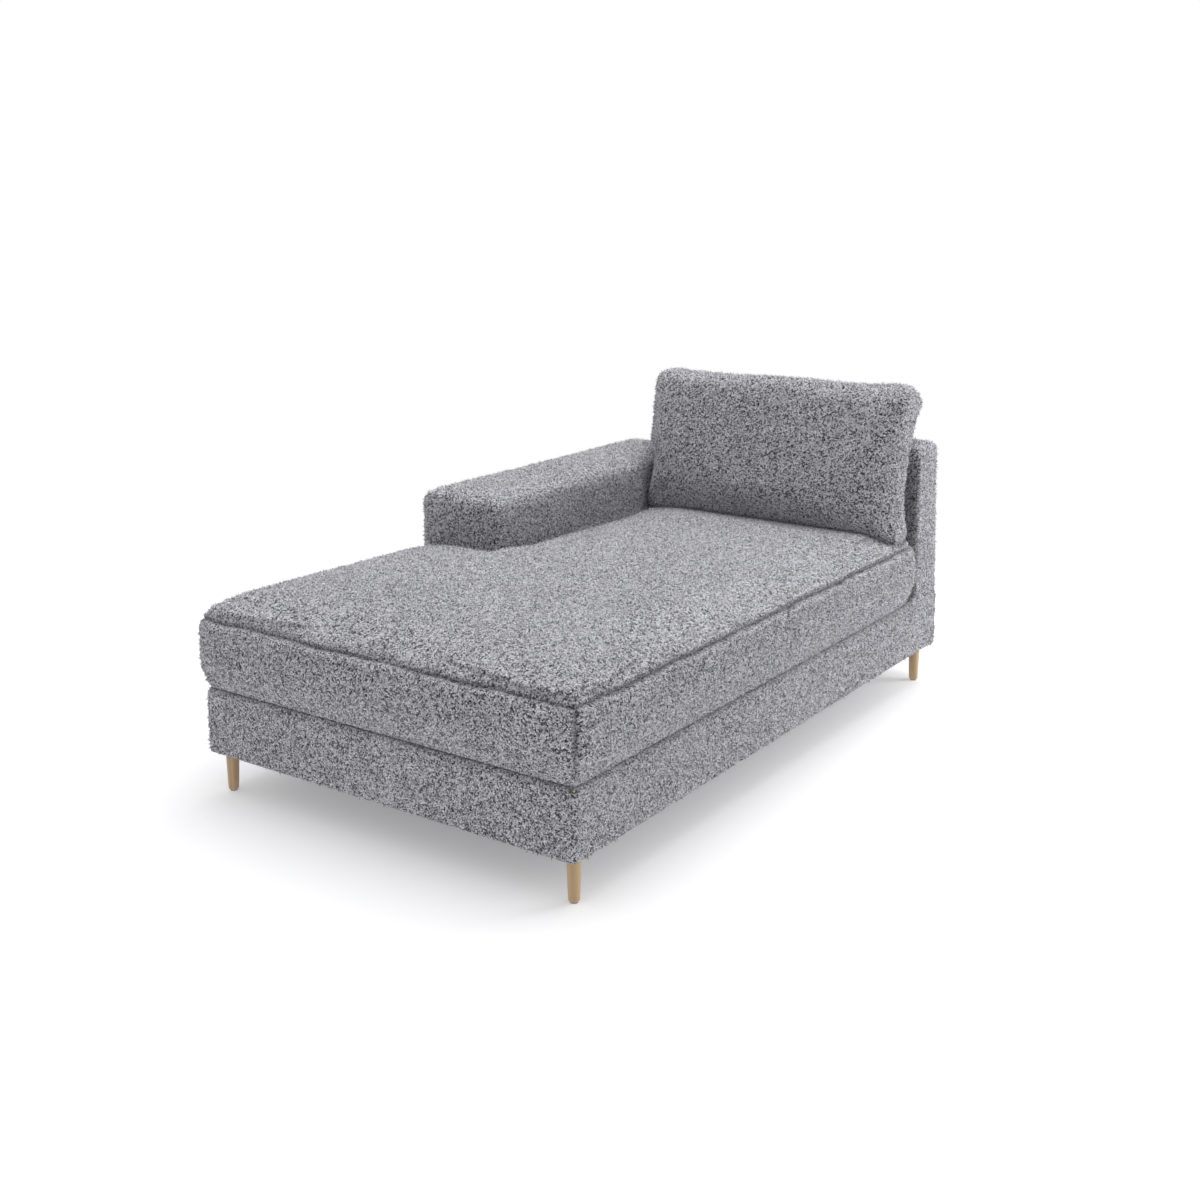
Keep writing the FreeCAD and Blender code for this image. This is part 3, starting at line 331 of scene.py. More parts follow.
def node_group(name, takes, sizes, material, gives):
    """A new geometry node tree: the geometry it takes, its sizes, its material and what it gives."""
    tree = bpy.data.node_groups.new(name, "GeometryNodeTree")
    tree.interface.new_socket(takes, in_out="INPUT", socket_type="NodeSocketGeometry")
    for title, size in sizes.items():
        kind = "NodeSocketInt" if isinstance(size, int) else "NodeSocketFloat"
        tree.interface.new_socket(title, in_out="INPUT", socket_type=kind).default_value = size
    tree.interface.new_socket(material, in_out="INPUT", socket_type="NodeSocketMaterial")
    tree.interface.new_socket(gives, in_out="OUTPUT", socket_type="NodeSocketGeometry")
    t = Nodes(tree)
    return tree, t, t.node("NodeGroupInput")


def given_out(t, geometry, material, gives):
    """Ends a geometry node tree: real faces, one material, one output."""
    whole = t.node("GeometryNodeRealizeInstances", {}, {"Geometry": geometry})["Geometry"]
    done = t.node("GeometryNodeSetMaterial", {}, {"Geometry": whole, "Material": material})["Geometry"]
    t.node("NodeGroupOutput", {}, {gives: done})


staple_row, t, given = node_group("staple_row", "Path", {"Spacing": 0.038, "Crown": 0.0095, "Wire": 0.0009},
                                  "Steel", "Staples")
line = t.node("GeometryNodeMeshToCurve", {}, {"Mesh": given["Path"]})["Curve"]
marks = t.node("GeometryNodeCurveToPoints", {"mode": "LENGTH"}, {"Curve": line, "Length": given["Spacing"]})
size = t.node("ShaderNodeCombineXYZ", {}, {
    "X": given["Wire"], "Y": given["Wire"], "Z": given["Crown"]})["Vector"]
wire = t.node("GeometryNodeMeshCube", {}, {"Size": size})["Mesh"]
driven = t.node("GeometryNodeInstanceOnPoints", {}, {
    "Points": marks["Points"], "Instance": wire, "Rotation": marks["Rotation"]})["Instances"]
given_out(t, driven, given["Steel"], "Staples")

stapled = bpy.data.meshes.new("staple_lines")
corners, sides = [], []
for low, high, inset, z in ((deck_low, deck_high, 0.007, deck_high.z - 0.0004),
                            (dust_low, dust_high, dust_inset + 0.007, dust_low.z - 0.0003)):
    first = len(corners)
    corners += [(low.x + inset, low.y + inset, z), (high.x - inset, low.y + inset, z),
                (high.x - inset, high.y - inset, z), (low.x + inset, high.y - inset, z)]
    sides += [(first, first + 1), (first + 1, first + 2), (first + 2, first + 3), (first + 3, first)]
stapled.from_pydata(corners, sides, [])
staples = grown("staples", stapled, staple_row, {"Steel": steel})
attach(staples, "frame")


# Outer cover of the base and back: heavy grey boucle, sewn to fit, pulled over the wadded rails
# and the foamed back in one, and turned under and stapled along the bottom.
boucle, t = finish("boucle")
here = t.place()
nap, parting, crown = (t.node("ShaderNodeAttribute", {"attribute_name": layer})["Fac"]
                       for layer in ("pile", "parting", "crown"))
# Painted top light: the cover's upward facing, eased. It scales the colour up by as much as 0.57 on tops, so
# they read lighter than the sides.
painted_top_light = crown.between(0.3, 0.97)
loops = t.node("ShaderNodeTexVoronoi", {}, {"Vector": here, "Scale": 300.0})
knots = t.node("ShaderNodeSeparateColor", {}, {"Color": loops["Color"]})["Red"]
twist = t.noise(here, 560.0, 2.0)["Fac"]
worn = t.noise(here, 4.0, 2.0)["Fac"]
crest = 1 - loops["Distance"].between(0.1, 0.7)
tone = knots * 0.5 + twist * 0.42 + nap * 0.2 + worn * 0.08 - 0.07
# Painted shade: the grain's contrast is raised on faces turned away from the top, standing in for the pile's
# own shadows on the sides.
tone = tone + (tone - 0.49) * (1 - painted_top_light) * 0.22
yarn = t.node("ShaderNodeValToRGB", {"stops": [
    (0.3, (0.015, 0.015, 0.018)), (0.4, (0.14, 0.14, 0.153)), (0.5, (0.56, 0.558, 0.596)),
    (0.6, (0.85, 0.846, 0.89))]}, {"Fac": tone})["Color"]
# Painted shade: the shade mask draws the colour down towards the dark ground in seams and in the creases
# between parts; in seams it is also the dark ground showing where the pile parts.
ground = t.mix((crest * 0.58 + 0.42) * (1 - parting * 0.7), (0.04, 0.039, 0.046, 1), yarn)
# Painted top light: the colour is scaled up where the cover faces upwards.
colour = t.node("ShaderNodeVectorMath", {"operation": "SCALE"}, {
    0: ground, "Scale": painted_top_light * 0.57 + 0.98})["Vector"]
height = crest * 0.6 + twist * 0.4
t.surface(Base_Color=colour, Roughness=0.92, Specular_IOR_Level=0.2, Sheen_Weight=1.0,
          Sheen_Roughness=0.32, Sheen_Tint=(0.93, 0.93, 1.0, 1.0), Normal=t.bump(height, 0.004, 0.9))

pile, t, given = node_group("boucle_pile", "Cover", {"Loop size": 0.006, "Pile height": 0.004},
                            "Yarn", "Cover")
per_metre = t.node("ShaderNodeMath", {"operation": "DIVIDE"}, {0: 1.0, 1: given["Loop size"]})["Value"]
point = t.node("GeometryNodeInputPosition")["Position"]
curls = t.node("ShaderNodeTexVoronoi", {}, {"Vector": point, "Scale": per_metre})["Distance"]
frizz = t.node("ShaderNodeTexWhiteNoise", {"noise_dimensions": "3D"}, {"Vector": point})["Value"]
rise = (1 - curls) * 0.55 + frizz * 0.45
free = t.node("GeometryNodeInputNamedAttribute", {"data_type": "FLOAT"}, {"Name": "free"})["Attribute"]
stored = t.node("GeometryNodeStoreNamedAttribute", {"data_type": "FLOAT", "domain": "POINT"},
                {"Geometry": given["Cover"], "Name": "pile", "Value": rise.between(0.2, 0.85)})["Geometry"]
outward = t.node("GeometryNodeInputNormal")["Normal"]
upward = t.node("ShaderNodeSeparateXYZ", {}, {"Vector": outward})["Z"]
# The cover's upward facing, stored for the painted top light and painted side shade in the boucle material.
stored = t.node("GeometryNodeStoreNamedAttribute", {"data_type": "FLOAT", "domain": "POINT"},
                {"Geometry": stored, "Name": "crown", "Value": upward})["Geometry"]
lift = (rise - 0.55) * given["Pile height"] * free * 2.0
offset = t.node("ShaderNodeVectorMath", {"operation": "SCALE"}, {
    "Vector": outward, "Scale": lift})["Vector"]
moved = t.node("GeometryNodeSetPosition", {}, {"Geometry": stored, "Offset": offset})["Geometry"]
given_out(t, moved, given["Yarn"], "Cover")

ends, t, given = node_group("yarn_ends", "Cover", {"Per square metre": 21000.0, "Length": 0.007,
                                                   "Width": 0.0011, "Seed": 7}, "Yarn", "Ends")
# Yarn ends are kept out of the seams and creases that the painted shade mask darkens.
free, parting = (t.node("GeometryNodeInputNamedAttribute", {"data_type": "FLOAT"}, {
    "Name": layer})["Attribute"] for layer in ("free", "parting"))
crowd = free * (1 - parting) * given["Per square metre"]
spots = t.node("GeometryNodeDistributePointsOnFaces", {"distribute_method": "RANDOM"}, {
    "Mesh": given["Cover"], "Density": crowd, "Seed": given["Seed"]})
tip = t.node("GeometryNodeMeshCone", {"fill_type": "NGON"}, {
    "Vertices": 3, "Radius Top": 0.0, "Radius Bottom": given["Width"], "Depth": given["Length"]})["Mesh"]
lean = t.node("FunctionNodeRandomValue", {"data_type": "FLOAT_VECTOR"}, {
    "Min": (-0.9, -0.9, 0.0), "Max": (0.9, 0.9, 6.28), "Seed": given["Seed"]})["Value"]
turned = t.node("FunctionNodeRotateEuler", {"space": "LOCAL"}, {
    "Rotation": spots["Rotation"], "Rotate By": lean})["Rotation"]
long = t.node("FunctionNodeRandomValue", {"data_type": "FLOAT"}, {
    2: 0.5, 3: 1.3, "Seed": given["Seed"]})["Value"]
stood = t.node("GeometryNodeInstanceOnPoints", {}, {
    "Points": spots["Points"], "Instance": tip, "Rotation": turned, "Scale": long})["Instances"]
shade = t.node("FunctionNodeRandomValue", {"data_type": "FLOAT"}, {2: 0.3, 3: 1.5, "Seed": 3})["Value"]
shaded = t.node("GeometryNodeStoreNamedAttribute", {"data_type": "FLOAT", "domain": "INSTANCE"},
                {"Geometry": stood, "Name": "pile", "Value": shade})["Geometry"]
given_out(t, shaded, given["Yarn"], "Ends")


def mesh_points(mesh):
    """A mesh's points as rows."""
    rows = np.empty(len(mesh.vertices) * 3, np.float32)
    mesh.vertices.foreach_get("co", rows)
    return rows.reshape(-1, 3).astype(float)


def mesh_normals(mesh):
    """A mesh's normals at its points, as rows."""
    rows = np.empty(len(mesh.vertices) * 3, np.float32)
    mesh.vertex_normals.foreach_get("vector", rows)
    return rows.reshape(-1, 3).astype(float)


def with_modifier(mesh, kind, **settings):
    """The mesh after one modifier, applied."""
    carrier = bpy.data.objects.new("work", mesh)
    bpy.context.scene.collection.objects.link(carrier)
    modifier = carrier.modifiers.new("work", kind)
    for name, setting in settings.items():
        setattr(modifier, name, setting)
    result = bpy.data.meshes.new_from_object(carrier.evaluated_get(bpy.context.evaluated_depsgraph_get()))
    bpy.data.objects.remove(carrier)
    return result


def outside(*nodes, hull=True):
    """The closed outside of CAD covers: their hull, or the larger of their two skins."""
    form = bmesh.new()
    for node in nodes:
        form.from_mesh(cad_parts[node].data)
    bmesh.ops.remove_doubles(form, verts=form.verts, dist=1e-5)
    if hull:
        made = bmesh.ops.convex_hull(form, input=form.verts)
        kept = {v for f in made["geom"] if isinstance(f, bmesh.types.BMFace) for v in f.verts}
        bmesh.ops.delete(form, geom=[v for v in form.verts if v not in kept], context="VERTS")
        loose = [f for f in form.faces if f not in set(made["geom"])]
        bmesh.ops.delete(form, geom=loose, context="FACES_ONLY")
    else:
        start = max(form.verts, key=lambda v: v.co.z)
        skin, edge = {start}, [start]
        while edge:
            for link in edge.pop().link_edges:
                for v in link.verts:
                    if v not in skin:
                        skin.add(v)
                        edge.append(v)
        bmesh.ops.delete(form, geom=[v for v in form.verts if v not in skin], context="VERTS")
    bmesh.ops.recalc_face_normals(form, faces=form.faces)
    return form


def squares(form, size, ease=6):
    """A closed form as one even net of squares, eased."""
    mesh = bpy.data.meshes.new("form")
    form.to_mesh(mesh)
    form.free()
    mesh = with_modifier(mesh, "REMESH", mode="VOXEL", voxel_size=size)
    return with_modifier(mesh, "SMOOTH", factor=0.5, iterations=ease)


def swollen(mesh, held, pressure, reach):
    """Swells the cloth between its held points, none of which moves further than reach."""
    start = mesh_points(mesh)
    scene = bpy.context.scene
    carrier = bpy.data.objects.new("swell", mesh)
    scene.collection.objects.link(carrier)
    pins = carrier.vertex_groups.new(name="held")
    pins.add([int(i) for i in np.flatnonzero(held)], 1.0, "REPLACE")
    cloth = carrier.modifiers.new("cloth", "CLOTH")
    settings = cloth.settings
    settings.quality, settings.mass, settings.use_pressure = 4, 0.4, True
    settings.uniform_pressure_force, settings.effector_weights.gravity = pressure, 0
    settings.tension_stiffness = settings.compression_stiffness = 12
    settings.bending_stiffness = 0.6
    settings.vertex_group_mass = "held"
    cloth.point_cache.frame_start, cloth.point_cache.frame_end = 1, 20
    for number in range(1, 21):
        scene.frame_set(number)
    after = mesh_points(carrier.evaluated_get(bpy.context.evaluated_depsgraph_get()).data)
    bpy.data.objects.remove(carrier)
    scene.frame_set(1)
    step = after - start
    length = np.linalg.norm(step, axis=1, keepdims=True) + 1e-9
    return start + step / length * reach * np.tanh(length / reach)


def with_points(mesh, points):
    """The mesh with its points moved."""
    mesh.vertices.foreach_set("co", np.asarray(points, np.float32).ravel())
    mesh.update()
    return mesh


def kept_outside(points, low, high, margin):
    """Pushes points that are in a box, or nearer to it than margin, out through its nearest face."""
    low, high = np.array(low) - np.array(margin), np.array(high) + np.array(margin)
    inside = np.all((points > low) & (points < high), axis=1)
    depth = np.concatenate([points - low, high - points], axis=1)
    nearest = np.where(inside, depth.argmin(axis=1), -1)
    for face in range(6):
        out = nearest == face
        points[out, face % 3] = (low if face < 3 else high)[face % 3]
    return points


def rounded(points, low, high, radii):
    """Rounds a box-shaped form along its sides. A bound of None leaves the form unrounded on that side."""
    low = np.array([-9.0 if bound is None else bound for bound in low])
    high = np.array([9.0 if bound is None else bound for bound in high])
    radii = np.array(radii)
    out = points - np.clip(points, low + radii, high - radii)
    length = np.linalg.norm(out / radii, axis=1, keepdims=True)
    return points - out + out / np.maximum(length, 1)


def near_to(distance, width):
    """1 at no distance, falling off smoothly to nearly 0 at twice the width."""
    return np.exp(-(distance / width) ** 2)


def share(distance, length):
    """How much of a length a distance covers, from 0 to 1."""
    return np.clip(distance / length, 0, 1)


def eased(amount):
    """0 to 1 with a soft start and end."""
    return amount ** 2 * (3 - 2 * amount)


def groove(points, normals, away, depth, width):
    """Draws the cloth in along a seam; away is each point's distance from it."""
    return points - normals * (depth * near_to(away, width))[:, None]


def covered(name, mesh, free, parting, body, *replaced, fill=0.7, loop=0.006, height=0.004):
    """Raises the pile on a cover, and makes it a piece. Where free is 0 the pile lies flat. The last mask is
    painted shade: where it is 1, in seams and in the creases between parts, the colour is drawn down to the
    dark ground, in seams also the ground showing where the pile parts."""
    for layer, amount in (("free", free), ("parting", parting)):
        mesh.attributes.new(layer, "FLOAT", "POINT").data.foreach_set("value", amount.astype(np.float32))
    made = grown(name, mesh, pile, {"Loop size": loop, "Pile height": height, "Yarn": boucle})
    made.data.polygons.foreach_set("use_smooth", [True] * len(made.data.polygons))
    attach(made, body)
    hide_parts(*replaced)
    return made


def yarn_ends(name, body, *covers):
    """The loose ends of yarn that stand out of the boucle of some covers, as one piece."""
    joined = bmesh.new()
    for cover in covers:
        joined.from_mesh(cover.data)
    mesh = bpy.data.meshes.new(name)
    joined.to_mesh(mesh)
    joined.free()
    made = grown(name, mesh, ends, {"Yarn": boucle})
    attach(made, body)
    return made


def filling(name, mesh, material, body, slot, depth, *replaced):
    """The stuffing just under a cover: its form drawn in by depth, on a coarser net."""
    inner = with_modifier(mesh, "REMESH", mode="VOXEL", voxel_size=0.018)
    inner = with_points(inner, mesh_points(inner) - mesh_normals(inner) * depth)
    inner.materials.clear()
    inner.materials.append(material)
    inner.polygons.foreach_set("use_smooth", [True] * len(inner.polygons))
    made = bpy.data.objects.new(name, inner)
    bpy.context.scene.collection.objects.link(made)
    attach(made, body)
    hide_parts(*replaced)
    return made


net, skirt, turn_in, cloth = 0.009, 0.05, 0.025, 0.002
base_low, base_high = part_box("base_cover_left")
base_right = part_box("base_cover_right")[1].x
base_top = base_high.z
base_front, base_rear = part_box("base_cover_front")[0].y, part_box("base_cover_rear")[1].y
back_low, back_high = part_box("back_cover")
form = outside("base_cover_front", "base_cover_rear", "base_cover_left", "base_cover_right")
slab = outside("back_cover")
for v in slab.verts:
    if v.co.z < back_low.z + 0.001:
        v.co.z = base_top - skirt
slab_mesh = bpy.data.meshes.new("slab")
slab.to_mesh(slab_mesh)
slab.free()
form.from_mesh(slab_mesh)
outer = squares(form, net, ease=3)
back_form = squares(outside("back_cover"), net)
filling("back_foam_wrap", back_form, foam, "frame", "foam", 0.0075, "back_foam")
outer = with_modifier(outer, "SUBSURF", levels=1, render_levels=1)
points, normals = mesh_points(outer), mesh_normals(outer)
x, y, z = points.T
for corner_x in (base_low.x, base_right):
    for corner_y in (base_front, base_rear):
        near = (abs(x - corner_x) < 0.05) & (abs(y - corner_y) < 0.05)
        away = abs((x - corner_x) * np.sign(corner_x) - (y - corner_y) * np.sign(corner_y))
        away = np.where(near, away, 1.0)
        points = groove(points, normals, away / math.sqrt(2), 0.002, 0.004)
above = points[:, 2] > 0.6
for low, high, radii in (((None, None, None), (None, back_high.y, back_high.z), (1, 0.028, 0.036)),
                         ((back_low.x, None, None), (back_high.x, None, back_high.z), (0.022, 1, 0.03))):
    points[above] = rounded(points[above], low, high, radii)
rails_low, rails_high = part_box("base_rail_left")[0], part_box("base_rail_right")[1]
points = kept_outside(points, rails_low, rails_high, (0.0062, 0.0062, 0.0025))
posts_low, posts_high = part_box("back_post_left")[0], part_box("back_post_right")[1]
posts_high.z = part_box("back_top_rail")[1].z
points = kept_outside(points, posts_low, posts_high, 0.0055)
x, y, z = points.T
rear_bulge, side_bulge = 0.009, 0.005
low_rear = share(y - 0.76, 0.08) * (1 - share(z - 0.25, 0.4))
points[:, 1] += rear_bulge * low_rear
points[:, 0] += side_bulge * low_rear * share(x - 0.44, 0.04)
outer = with_points(outer, points)
cut = bmesh.new()
cut.from_mesh(outer)
open_faces = []
for face in cut.faces:
    c, n = face.calc_center_median(), face.normal
    inside = (base_low.x + turn_in < c.x < base_right - turn_in
              and base_front + turn_in < c.y < base_rear - turn_in)
    on_top = n.z > 0.7 and base_top - 0.006 < c.z < base_top + 0.003 and c.y < back_low.y - 0.004
    if inside and (on_top or n.z < -0.7 and c.z < base_low.z + 0.006):
        open_faces.append(face)
bmesh.ops.delete(cut, geom=open_faces, context="FACES")
cut.to_mesh(outer)
cut.free()
points, normals = mesh_points(outer), mesh_normals(outer)
x, y, z = points.T
top_rim = (z > base_top - 0.007) & (z < base_top + 0.003) & (y < back_low.y - 0.004)
flat = top_rim | ((z < base_low.z + 0.002) & (normals[:, 2] < -0.5))
to_side, to_end = abs(abs(x) - base_right), np.minimum(abs(y - base_front), abs(y - base_rear))
corner, diagonal = np.minimum(to_side, to_end + 0.003), abs(to_side - to_end)
# Painted shade: the cover is darkened along its corner seams, where the seat cushion sits on the base top,
# and along its foot by the floor.
crease_shade = near_to(diagonal, 0.005) * (corner < 0.012) * 0.7
crease_shade = np.maximum(crease_shade, 0.8 * near_to(z - base_top, 0.007) * (y < back_low.y - 0.01))
crease_shade = np.maximum(crease_shade, 0.8 * near_to(z - base_low.z, 0.004))
# Painted shadow on the back's front face behind the back cushion, fading upwards.
behind_pillow = (y < back_low.y + 0.012) & (y > back_low.y - 0.02) & (z > base_top + 0.01)
crease_shade = np.maximum(crease_shade, 0.75 * behind_pillow * share(back_high.z - 0.012 - z, 0.05))
outer = with_modifier(outer, "SOLIDIFY", thickness=cloth, offset=-1.0)
outer_skin = np.linalg.norm(mesh_points(outer) - np.tile(points, (2, 1)), axis=1) < cloth / 2
free, crease_shade = np.tile(np.where(flat, 0.0, 1.0), 2) * outer_skin, np.tile(crease_shade, 2)
outer_cover = covered("outer_cover", outer, free, crease_shade, "frame", "base_cover_front", "base_cover_rear",
                      "base_cover_left", "base_cover_right", "back_cover", "base_wadding", fill=0.9)


# Arm: a plywood box screwed down beside the seat, foamed on top and sides, and covered in the same
# boucle with a soft, pillowed top.
dress(plywood_y, "arm_bottom_board", "arm_panel_outer", "arm_panel_inner", "arm_top_board")
dress(plywood_x, "arm_front_board", "arm_rear_board")
arm_low, arm_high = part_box("arm_cover")
swell, corner_lift, side_swell, seat_level = 0.008, 0.003, 0.008, 0.43
arm = squares(outside("arm_cover"), 0.008)
arm = with_points(arm, rounded(mesh_points(arm), (arm_low.x, arm_low.y, None),
                               (arm_high.x, None, arm_high.z), (0.026, 0.026, 0.034)))
walls = mesh_points(arm)[:, 2] < arm_high.z - 0.07
arm = with_points(arm, swollen(arm, walls, 3.5, 0.0045))
boards_low, boards_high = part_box("arm_panel_outer")[0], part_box("arm_panel_inner")[1]
boards_high = (boards_high.x, boards_high.y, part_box("arm_top_board")[1].z)
points, normals = mesh_points(arm), mesh_normals(arm)
fullness = swell * near_to(points[:, 2] - 0.542, 0.02) * (normals[:, 2] < 0.97)
points += normals * fullness[:, None]
x, y, z = points.T
to_corner = ((x - arm_low.x) / 0.07) ** 2 + ((y - arm_low.y) / 0.07) ** 2
points[:, 2] += corner_lift * share(z - 0.50, 0.05) * np.exp(-to_corner)
points[:, 0] -= side_swell * near_to(y - arm_low.y, 0.12) * share(-0.42 - x, 0.06)
arm = with_points(arm, rounded(points, (arm_low.x - 0.009, arm_low.y - 0.004, None),
                               (arm_high.x - 0.0005, None, arm_high.z + 0.006), (0.036, 0.03, 0.044)))
padding = with_points(arm.copy(), kept_outside(mesh_points(arm), boards_low, boards_high, 0.002))
filling("arm_foam_wrap", padding, foam, "frame", "foam", 0.006, "arm_foam")
arm = with_modifier(arm, "SUBSURF", levels=1, render_levels=1)
points = kept_outside(mesh_points(arm), boards_low, boards_high, 0.0042)
points[:, 0] = np.minimum(points[:, 0], arm_high.x - 0.0005)
points[:, 2] = np.maximum(points[:, 2], arm_low.z)
x, y, z = points.T
by_seat = z < seat_level
against_seat = by_seat & ((x > arm_high.x - 0.004) | (y < arm_low.y + 0.004))
points[:, 1] = np.where(by_seat, np.maximum(y, arm_low.y + 0.0005), y)
under_pillow = (x > arm_high.x - 0.04) & (y > 0.5) & (z > arm_high.z - 0.01)
free = np.where(against_seat | under_pillow | (z < arm_low.z + 0.003), 0.0, 1.0)
# Painted shade along the arm's foot, where it meets the back, and towards the rear of its inner face.
by_back = 0.8 * near_to(y - back_low.y + 0.004, 0.006) * (x > arm_high.x - 0.006)
crease_shade = np.maximum(near_to(z - arm_low.z, 0.008), by_back)
crease_shade = np.maximum(crease_shade, 0.8 * share(y - 0.545, 0.02) * near_to(x - arm_high.x, 0.03))
arm_cover = covered("arm_upholstery", with_points(arm, points), free, crease_shade, "frame", "arm_cover",
                    fill=0.85)
yarn_ends("frame_yarn_ends", "frame", outer_cover, arm_cover)


# Back: two end posts and a middle one on a sill, a top rail, a hardboard panel behind and webbing
# in front, foamed all over. Its cover is one with the base's.
hardboard = timber("hardboard", (0.40, 0.27, 0.16), (0.30, 0.19, 0.11), along=0, rings=3.0, roughness=0.6)
dress(hardboard, "back_panel")
dress(softwood, "back_post_left", "back_post_middle", "back_post_right")
dress(plywood_x, "back_sill", "back_top_rail")


# Seat cushion: an L-shaped boxed cushion of foam in a fibre wrap. Its boxing bulges, a seam runs
# round the top panel and up the front corners, and a zip closes it behind.
seat_low, seat_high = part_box("seat_cushion_cover")
seam_z, notch_x, notch_y, seat_rear = 0.4053, -0.2497, -0.0873, 0.700
dome_height, sag_depth, corner_round, left_in, rear_in, rear_drop = 0.019, 0.015, 0.008, 0.006, 0.026, 0.007
seam_depth, seam_width, roll_above, roll_below, bulge, wrap_depth = 0.010, 0.006, 0.006, 0.003, 0.012, 0.012


def seat_sag(x, y):
    """How far the seat's top lies below its highest part: it falls off beside the arm."""
    behind_front = 1 / (1 + np.exp(-(y - notch_y + 0.01) / 0.02))
    return sag_depth * near_to(np.maximum(x - notch_x, 0), 0.10) * behind_front


def seat_dome(x, y):
    """How far the stuffing raises the top between its seams, less beside the arm and the back."""
    in_from_edge = np.minimum(np.minimum(x - seat_low.x, seat_high.x - x), y - seat_low.y)
    rise = eased(share(in_from_edge - 0.004, 0.07))
    by_arm = near_to(y - notch_y, 0.16) * (x < notch_x + 0.05)
    to_rear = share(y + 0.1, 0.5)
    middle = 0.004 * near_to(x - 0.06, 0.3)
    return dome_height * rise * (1 - 0.75 * by_arm) * (1 - 0.85 * to_rear) + middle


seat = squares(outside("seat_cushion_cover", hull=False), 0.008)
points, normals = mesh_points(seat), mesh_normals(seat)
x, y, z = points.T
resting = (z < seat_low.z + 0.006) | (y > seat_rear - 0.006) | (
    (y > notch_y - 0.006) & (x < notch_x + 0.006)) | ((y > 0.5) & (z > seat_high.z - 0.004))
seam = (abs(z - seam_z) < 0.006) & (abs(normals[:, 2]) < 0.95)
held = resting | seam
seat = with_points(seat, points - normals * 0.006 * ~held[:, None])
seat = with_points(seat, swollen(seat, held, 4.0, bulge))
points, normals = mesh_points(seat), mesh_normals(seat)
x, y, z = points.T
top = share(z - seam_z - 0.004, 0.022)
points[:, 2] += top * (seat_dome(x, y) - seat_sag(x, y))
points[:, 0] += left_in * share(-0.42 - x, 0.08) * (z > seat_low.z + 0.02)
for corner_x in (seat_low.x, seat_high.x):
    out = np.clip(1 - np.hypot(x - corner_x, y - seat_low.y) / 0.07, 0, 1) * (z > seat_low.z + 0.03)
    points[:, 0] -= np.sign(corner_x) * corner_round * out
    points[:, 1] += corner_round * out
at_end = share(y - 0.635, 0.065) ** 2 * share(x - 0.40, 0.1)
points[:, 0] -= rear_in * at_end
points[:, 2] -= rear_drop * at_end * share(z - 0.36, 0.05)
seat = with_points(seat, points)
filling("seat_fibre", seat, fibre, "seat_cushion", "fibre", wrap_depth, "seat_fibre_wrap")
seat = with_modifier(seat, "SUBSURF", levels=1, render_levels=1)
points, normals = mesh_points(seat), mesh_normals(seat)
x, y, z = points.T
ripple = 0.0015 * np.sin(x * 19 + 1) + 0.0012 * np.sin(y * 23) + 0.001 * np.sin((x + y) * 47)
side = (y < notch_y + 0.05) | (x > notch_x + 0.1)
upright = abs(normals[:, 2]) < 0.93
away = np.where(side & upright, abs(z - seam_z - ripple), 1.0)
points = groove(points, normals, away, seam_depth, seam_width)
# Painted shade along the seam groove round the top panel; in the seam also the dark ground where the pile
# parts.
crease_shade = near_to(away, 0.0075)
over, below = z - seam_z - 0.017, z - seam_z + 0.020
roll = roll_above * near_to(over, 0.011) * (normals[:, 2] < 0.85)
roll += roll_below * near_to(below, 0.013)
points += normals * (roll * side * upright)[:, None]
corner_in = 0.0135
corner_y = seat_low.y + corner_in
for corner_x in (seat_low.x + corner_in, seat_high.x - corner_in):
    near = (abs(x - corner_x) < 0.08) & (abs(y - corner_y) < 0.08) & (z < seam_z) & (z > seat_low.z + 0.02)
    away = abs((x - corner_x) * np.sign(corner_x) + (y - corner_y)) / math.sqrt(2)
    away = np.where(near, away, 1.0)
    points = groove(points, normals, away, 0.008, 0.006)
    # Painted shade down the front corner seams.
    crease_shade = np.maximum(crease_shade, 0.8 * near_to(away, 0.005))
# Painted shade along the cushion's foot on the base and at its rear end against the back.
crease_shade = np.maximum(crease_shade, 0.9 * near_to(z - seat_low.z, 0.007))
crease_shade = np.maximum(crease_shade, 0.9 * share(y - seat_rear + 0.016, 0.01))
x, y, z = points.T
in_notch = (x < notch_x + 0.001) & (y > notch_y - 0.001)
by_side = in_notch & (notch_x - x < y - notch_y)
points[:, 0] = np.where(by_side, notch_x + 0.001, points[:, 0])
points[:, 1] = np.where(in_notch & ~by_side, notch_y - 0.001, points[:, 1])
points[:, 1] = np.minimum(points[:, 1], seat_rear)
points[:, 2] = np.maximum(points[:, 2], seat_low.z)
points[:, 2] = np.where(points[:, 1] > 0.5, np.minimum(points[:, 2], seat_high.z), points[:, 2])
x, y, z = points.T
flat = (z < seat_low.z + 0.003) | (y > seat_rear - 0.003) | (
    (y > notch_y - 0.004) & (x < notch_x + 0.004)) | ((y > 0.51) & (z > seat_high.z - 0.003))
seat_cover = covered("seat_cushion", with_points(seat, points), np.where(flat, 0.0, 1.0), crease_shade,
                     "seat_cushion", "seat_cushion_cover", fill=0.8)
yarn_ends("seat_yarn_ends", "seat_cushion", seat_cover)


# Back cushion: a loose fibre-filled pillow, fuller at its foot, that stands on the seat and leans
# on the back, with a soft shoulder over the arm and a zip along the bottom of its rear face.
foot_z, arm_top, arm_side, slab_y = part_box("back_cushion_cover")[0].z, 0.5733, -0.2497, 0.7147
side_droop, middle_rise, right_ear, left_ear = 0.016, 0.017, 0.010, 0.003
corner_out, corner_down, lift_off = 0.010, 0.006, 0.0015


def foot_droop(x, y):
    """How far the pillow's foot reaches below its place: into the seat's sag and over its side."""
    return np.minimum(seat_sag(x, y), 0.012) + side_droop * eased(share(x - 0.41, 0.09))


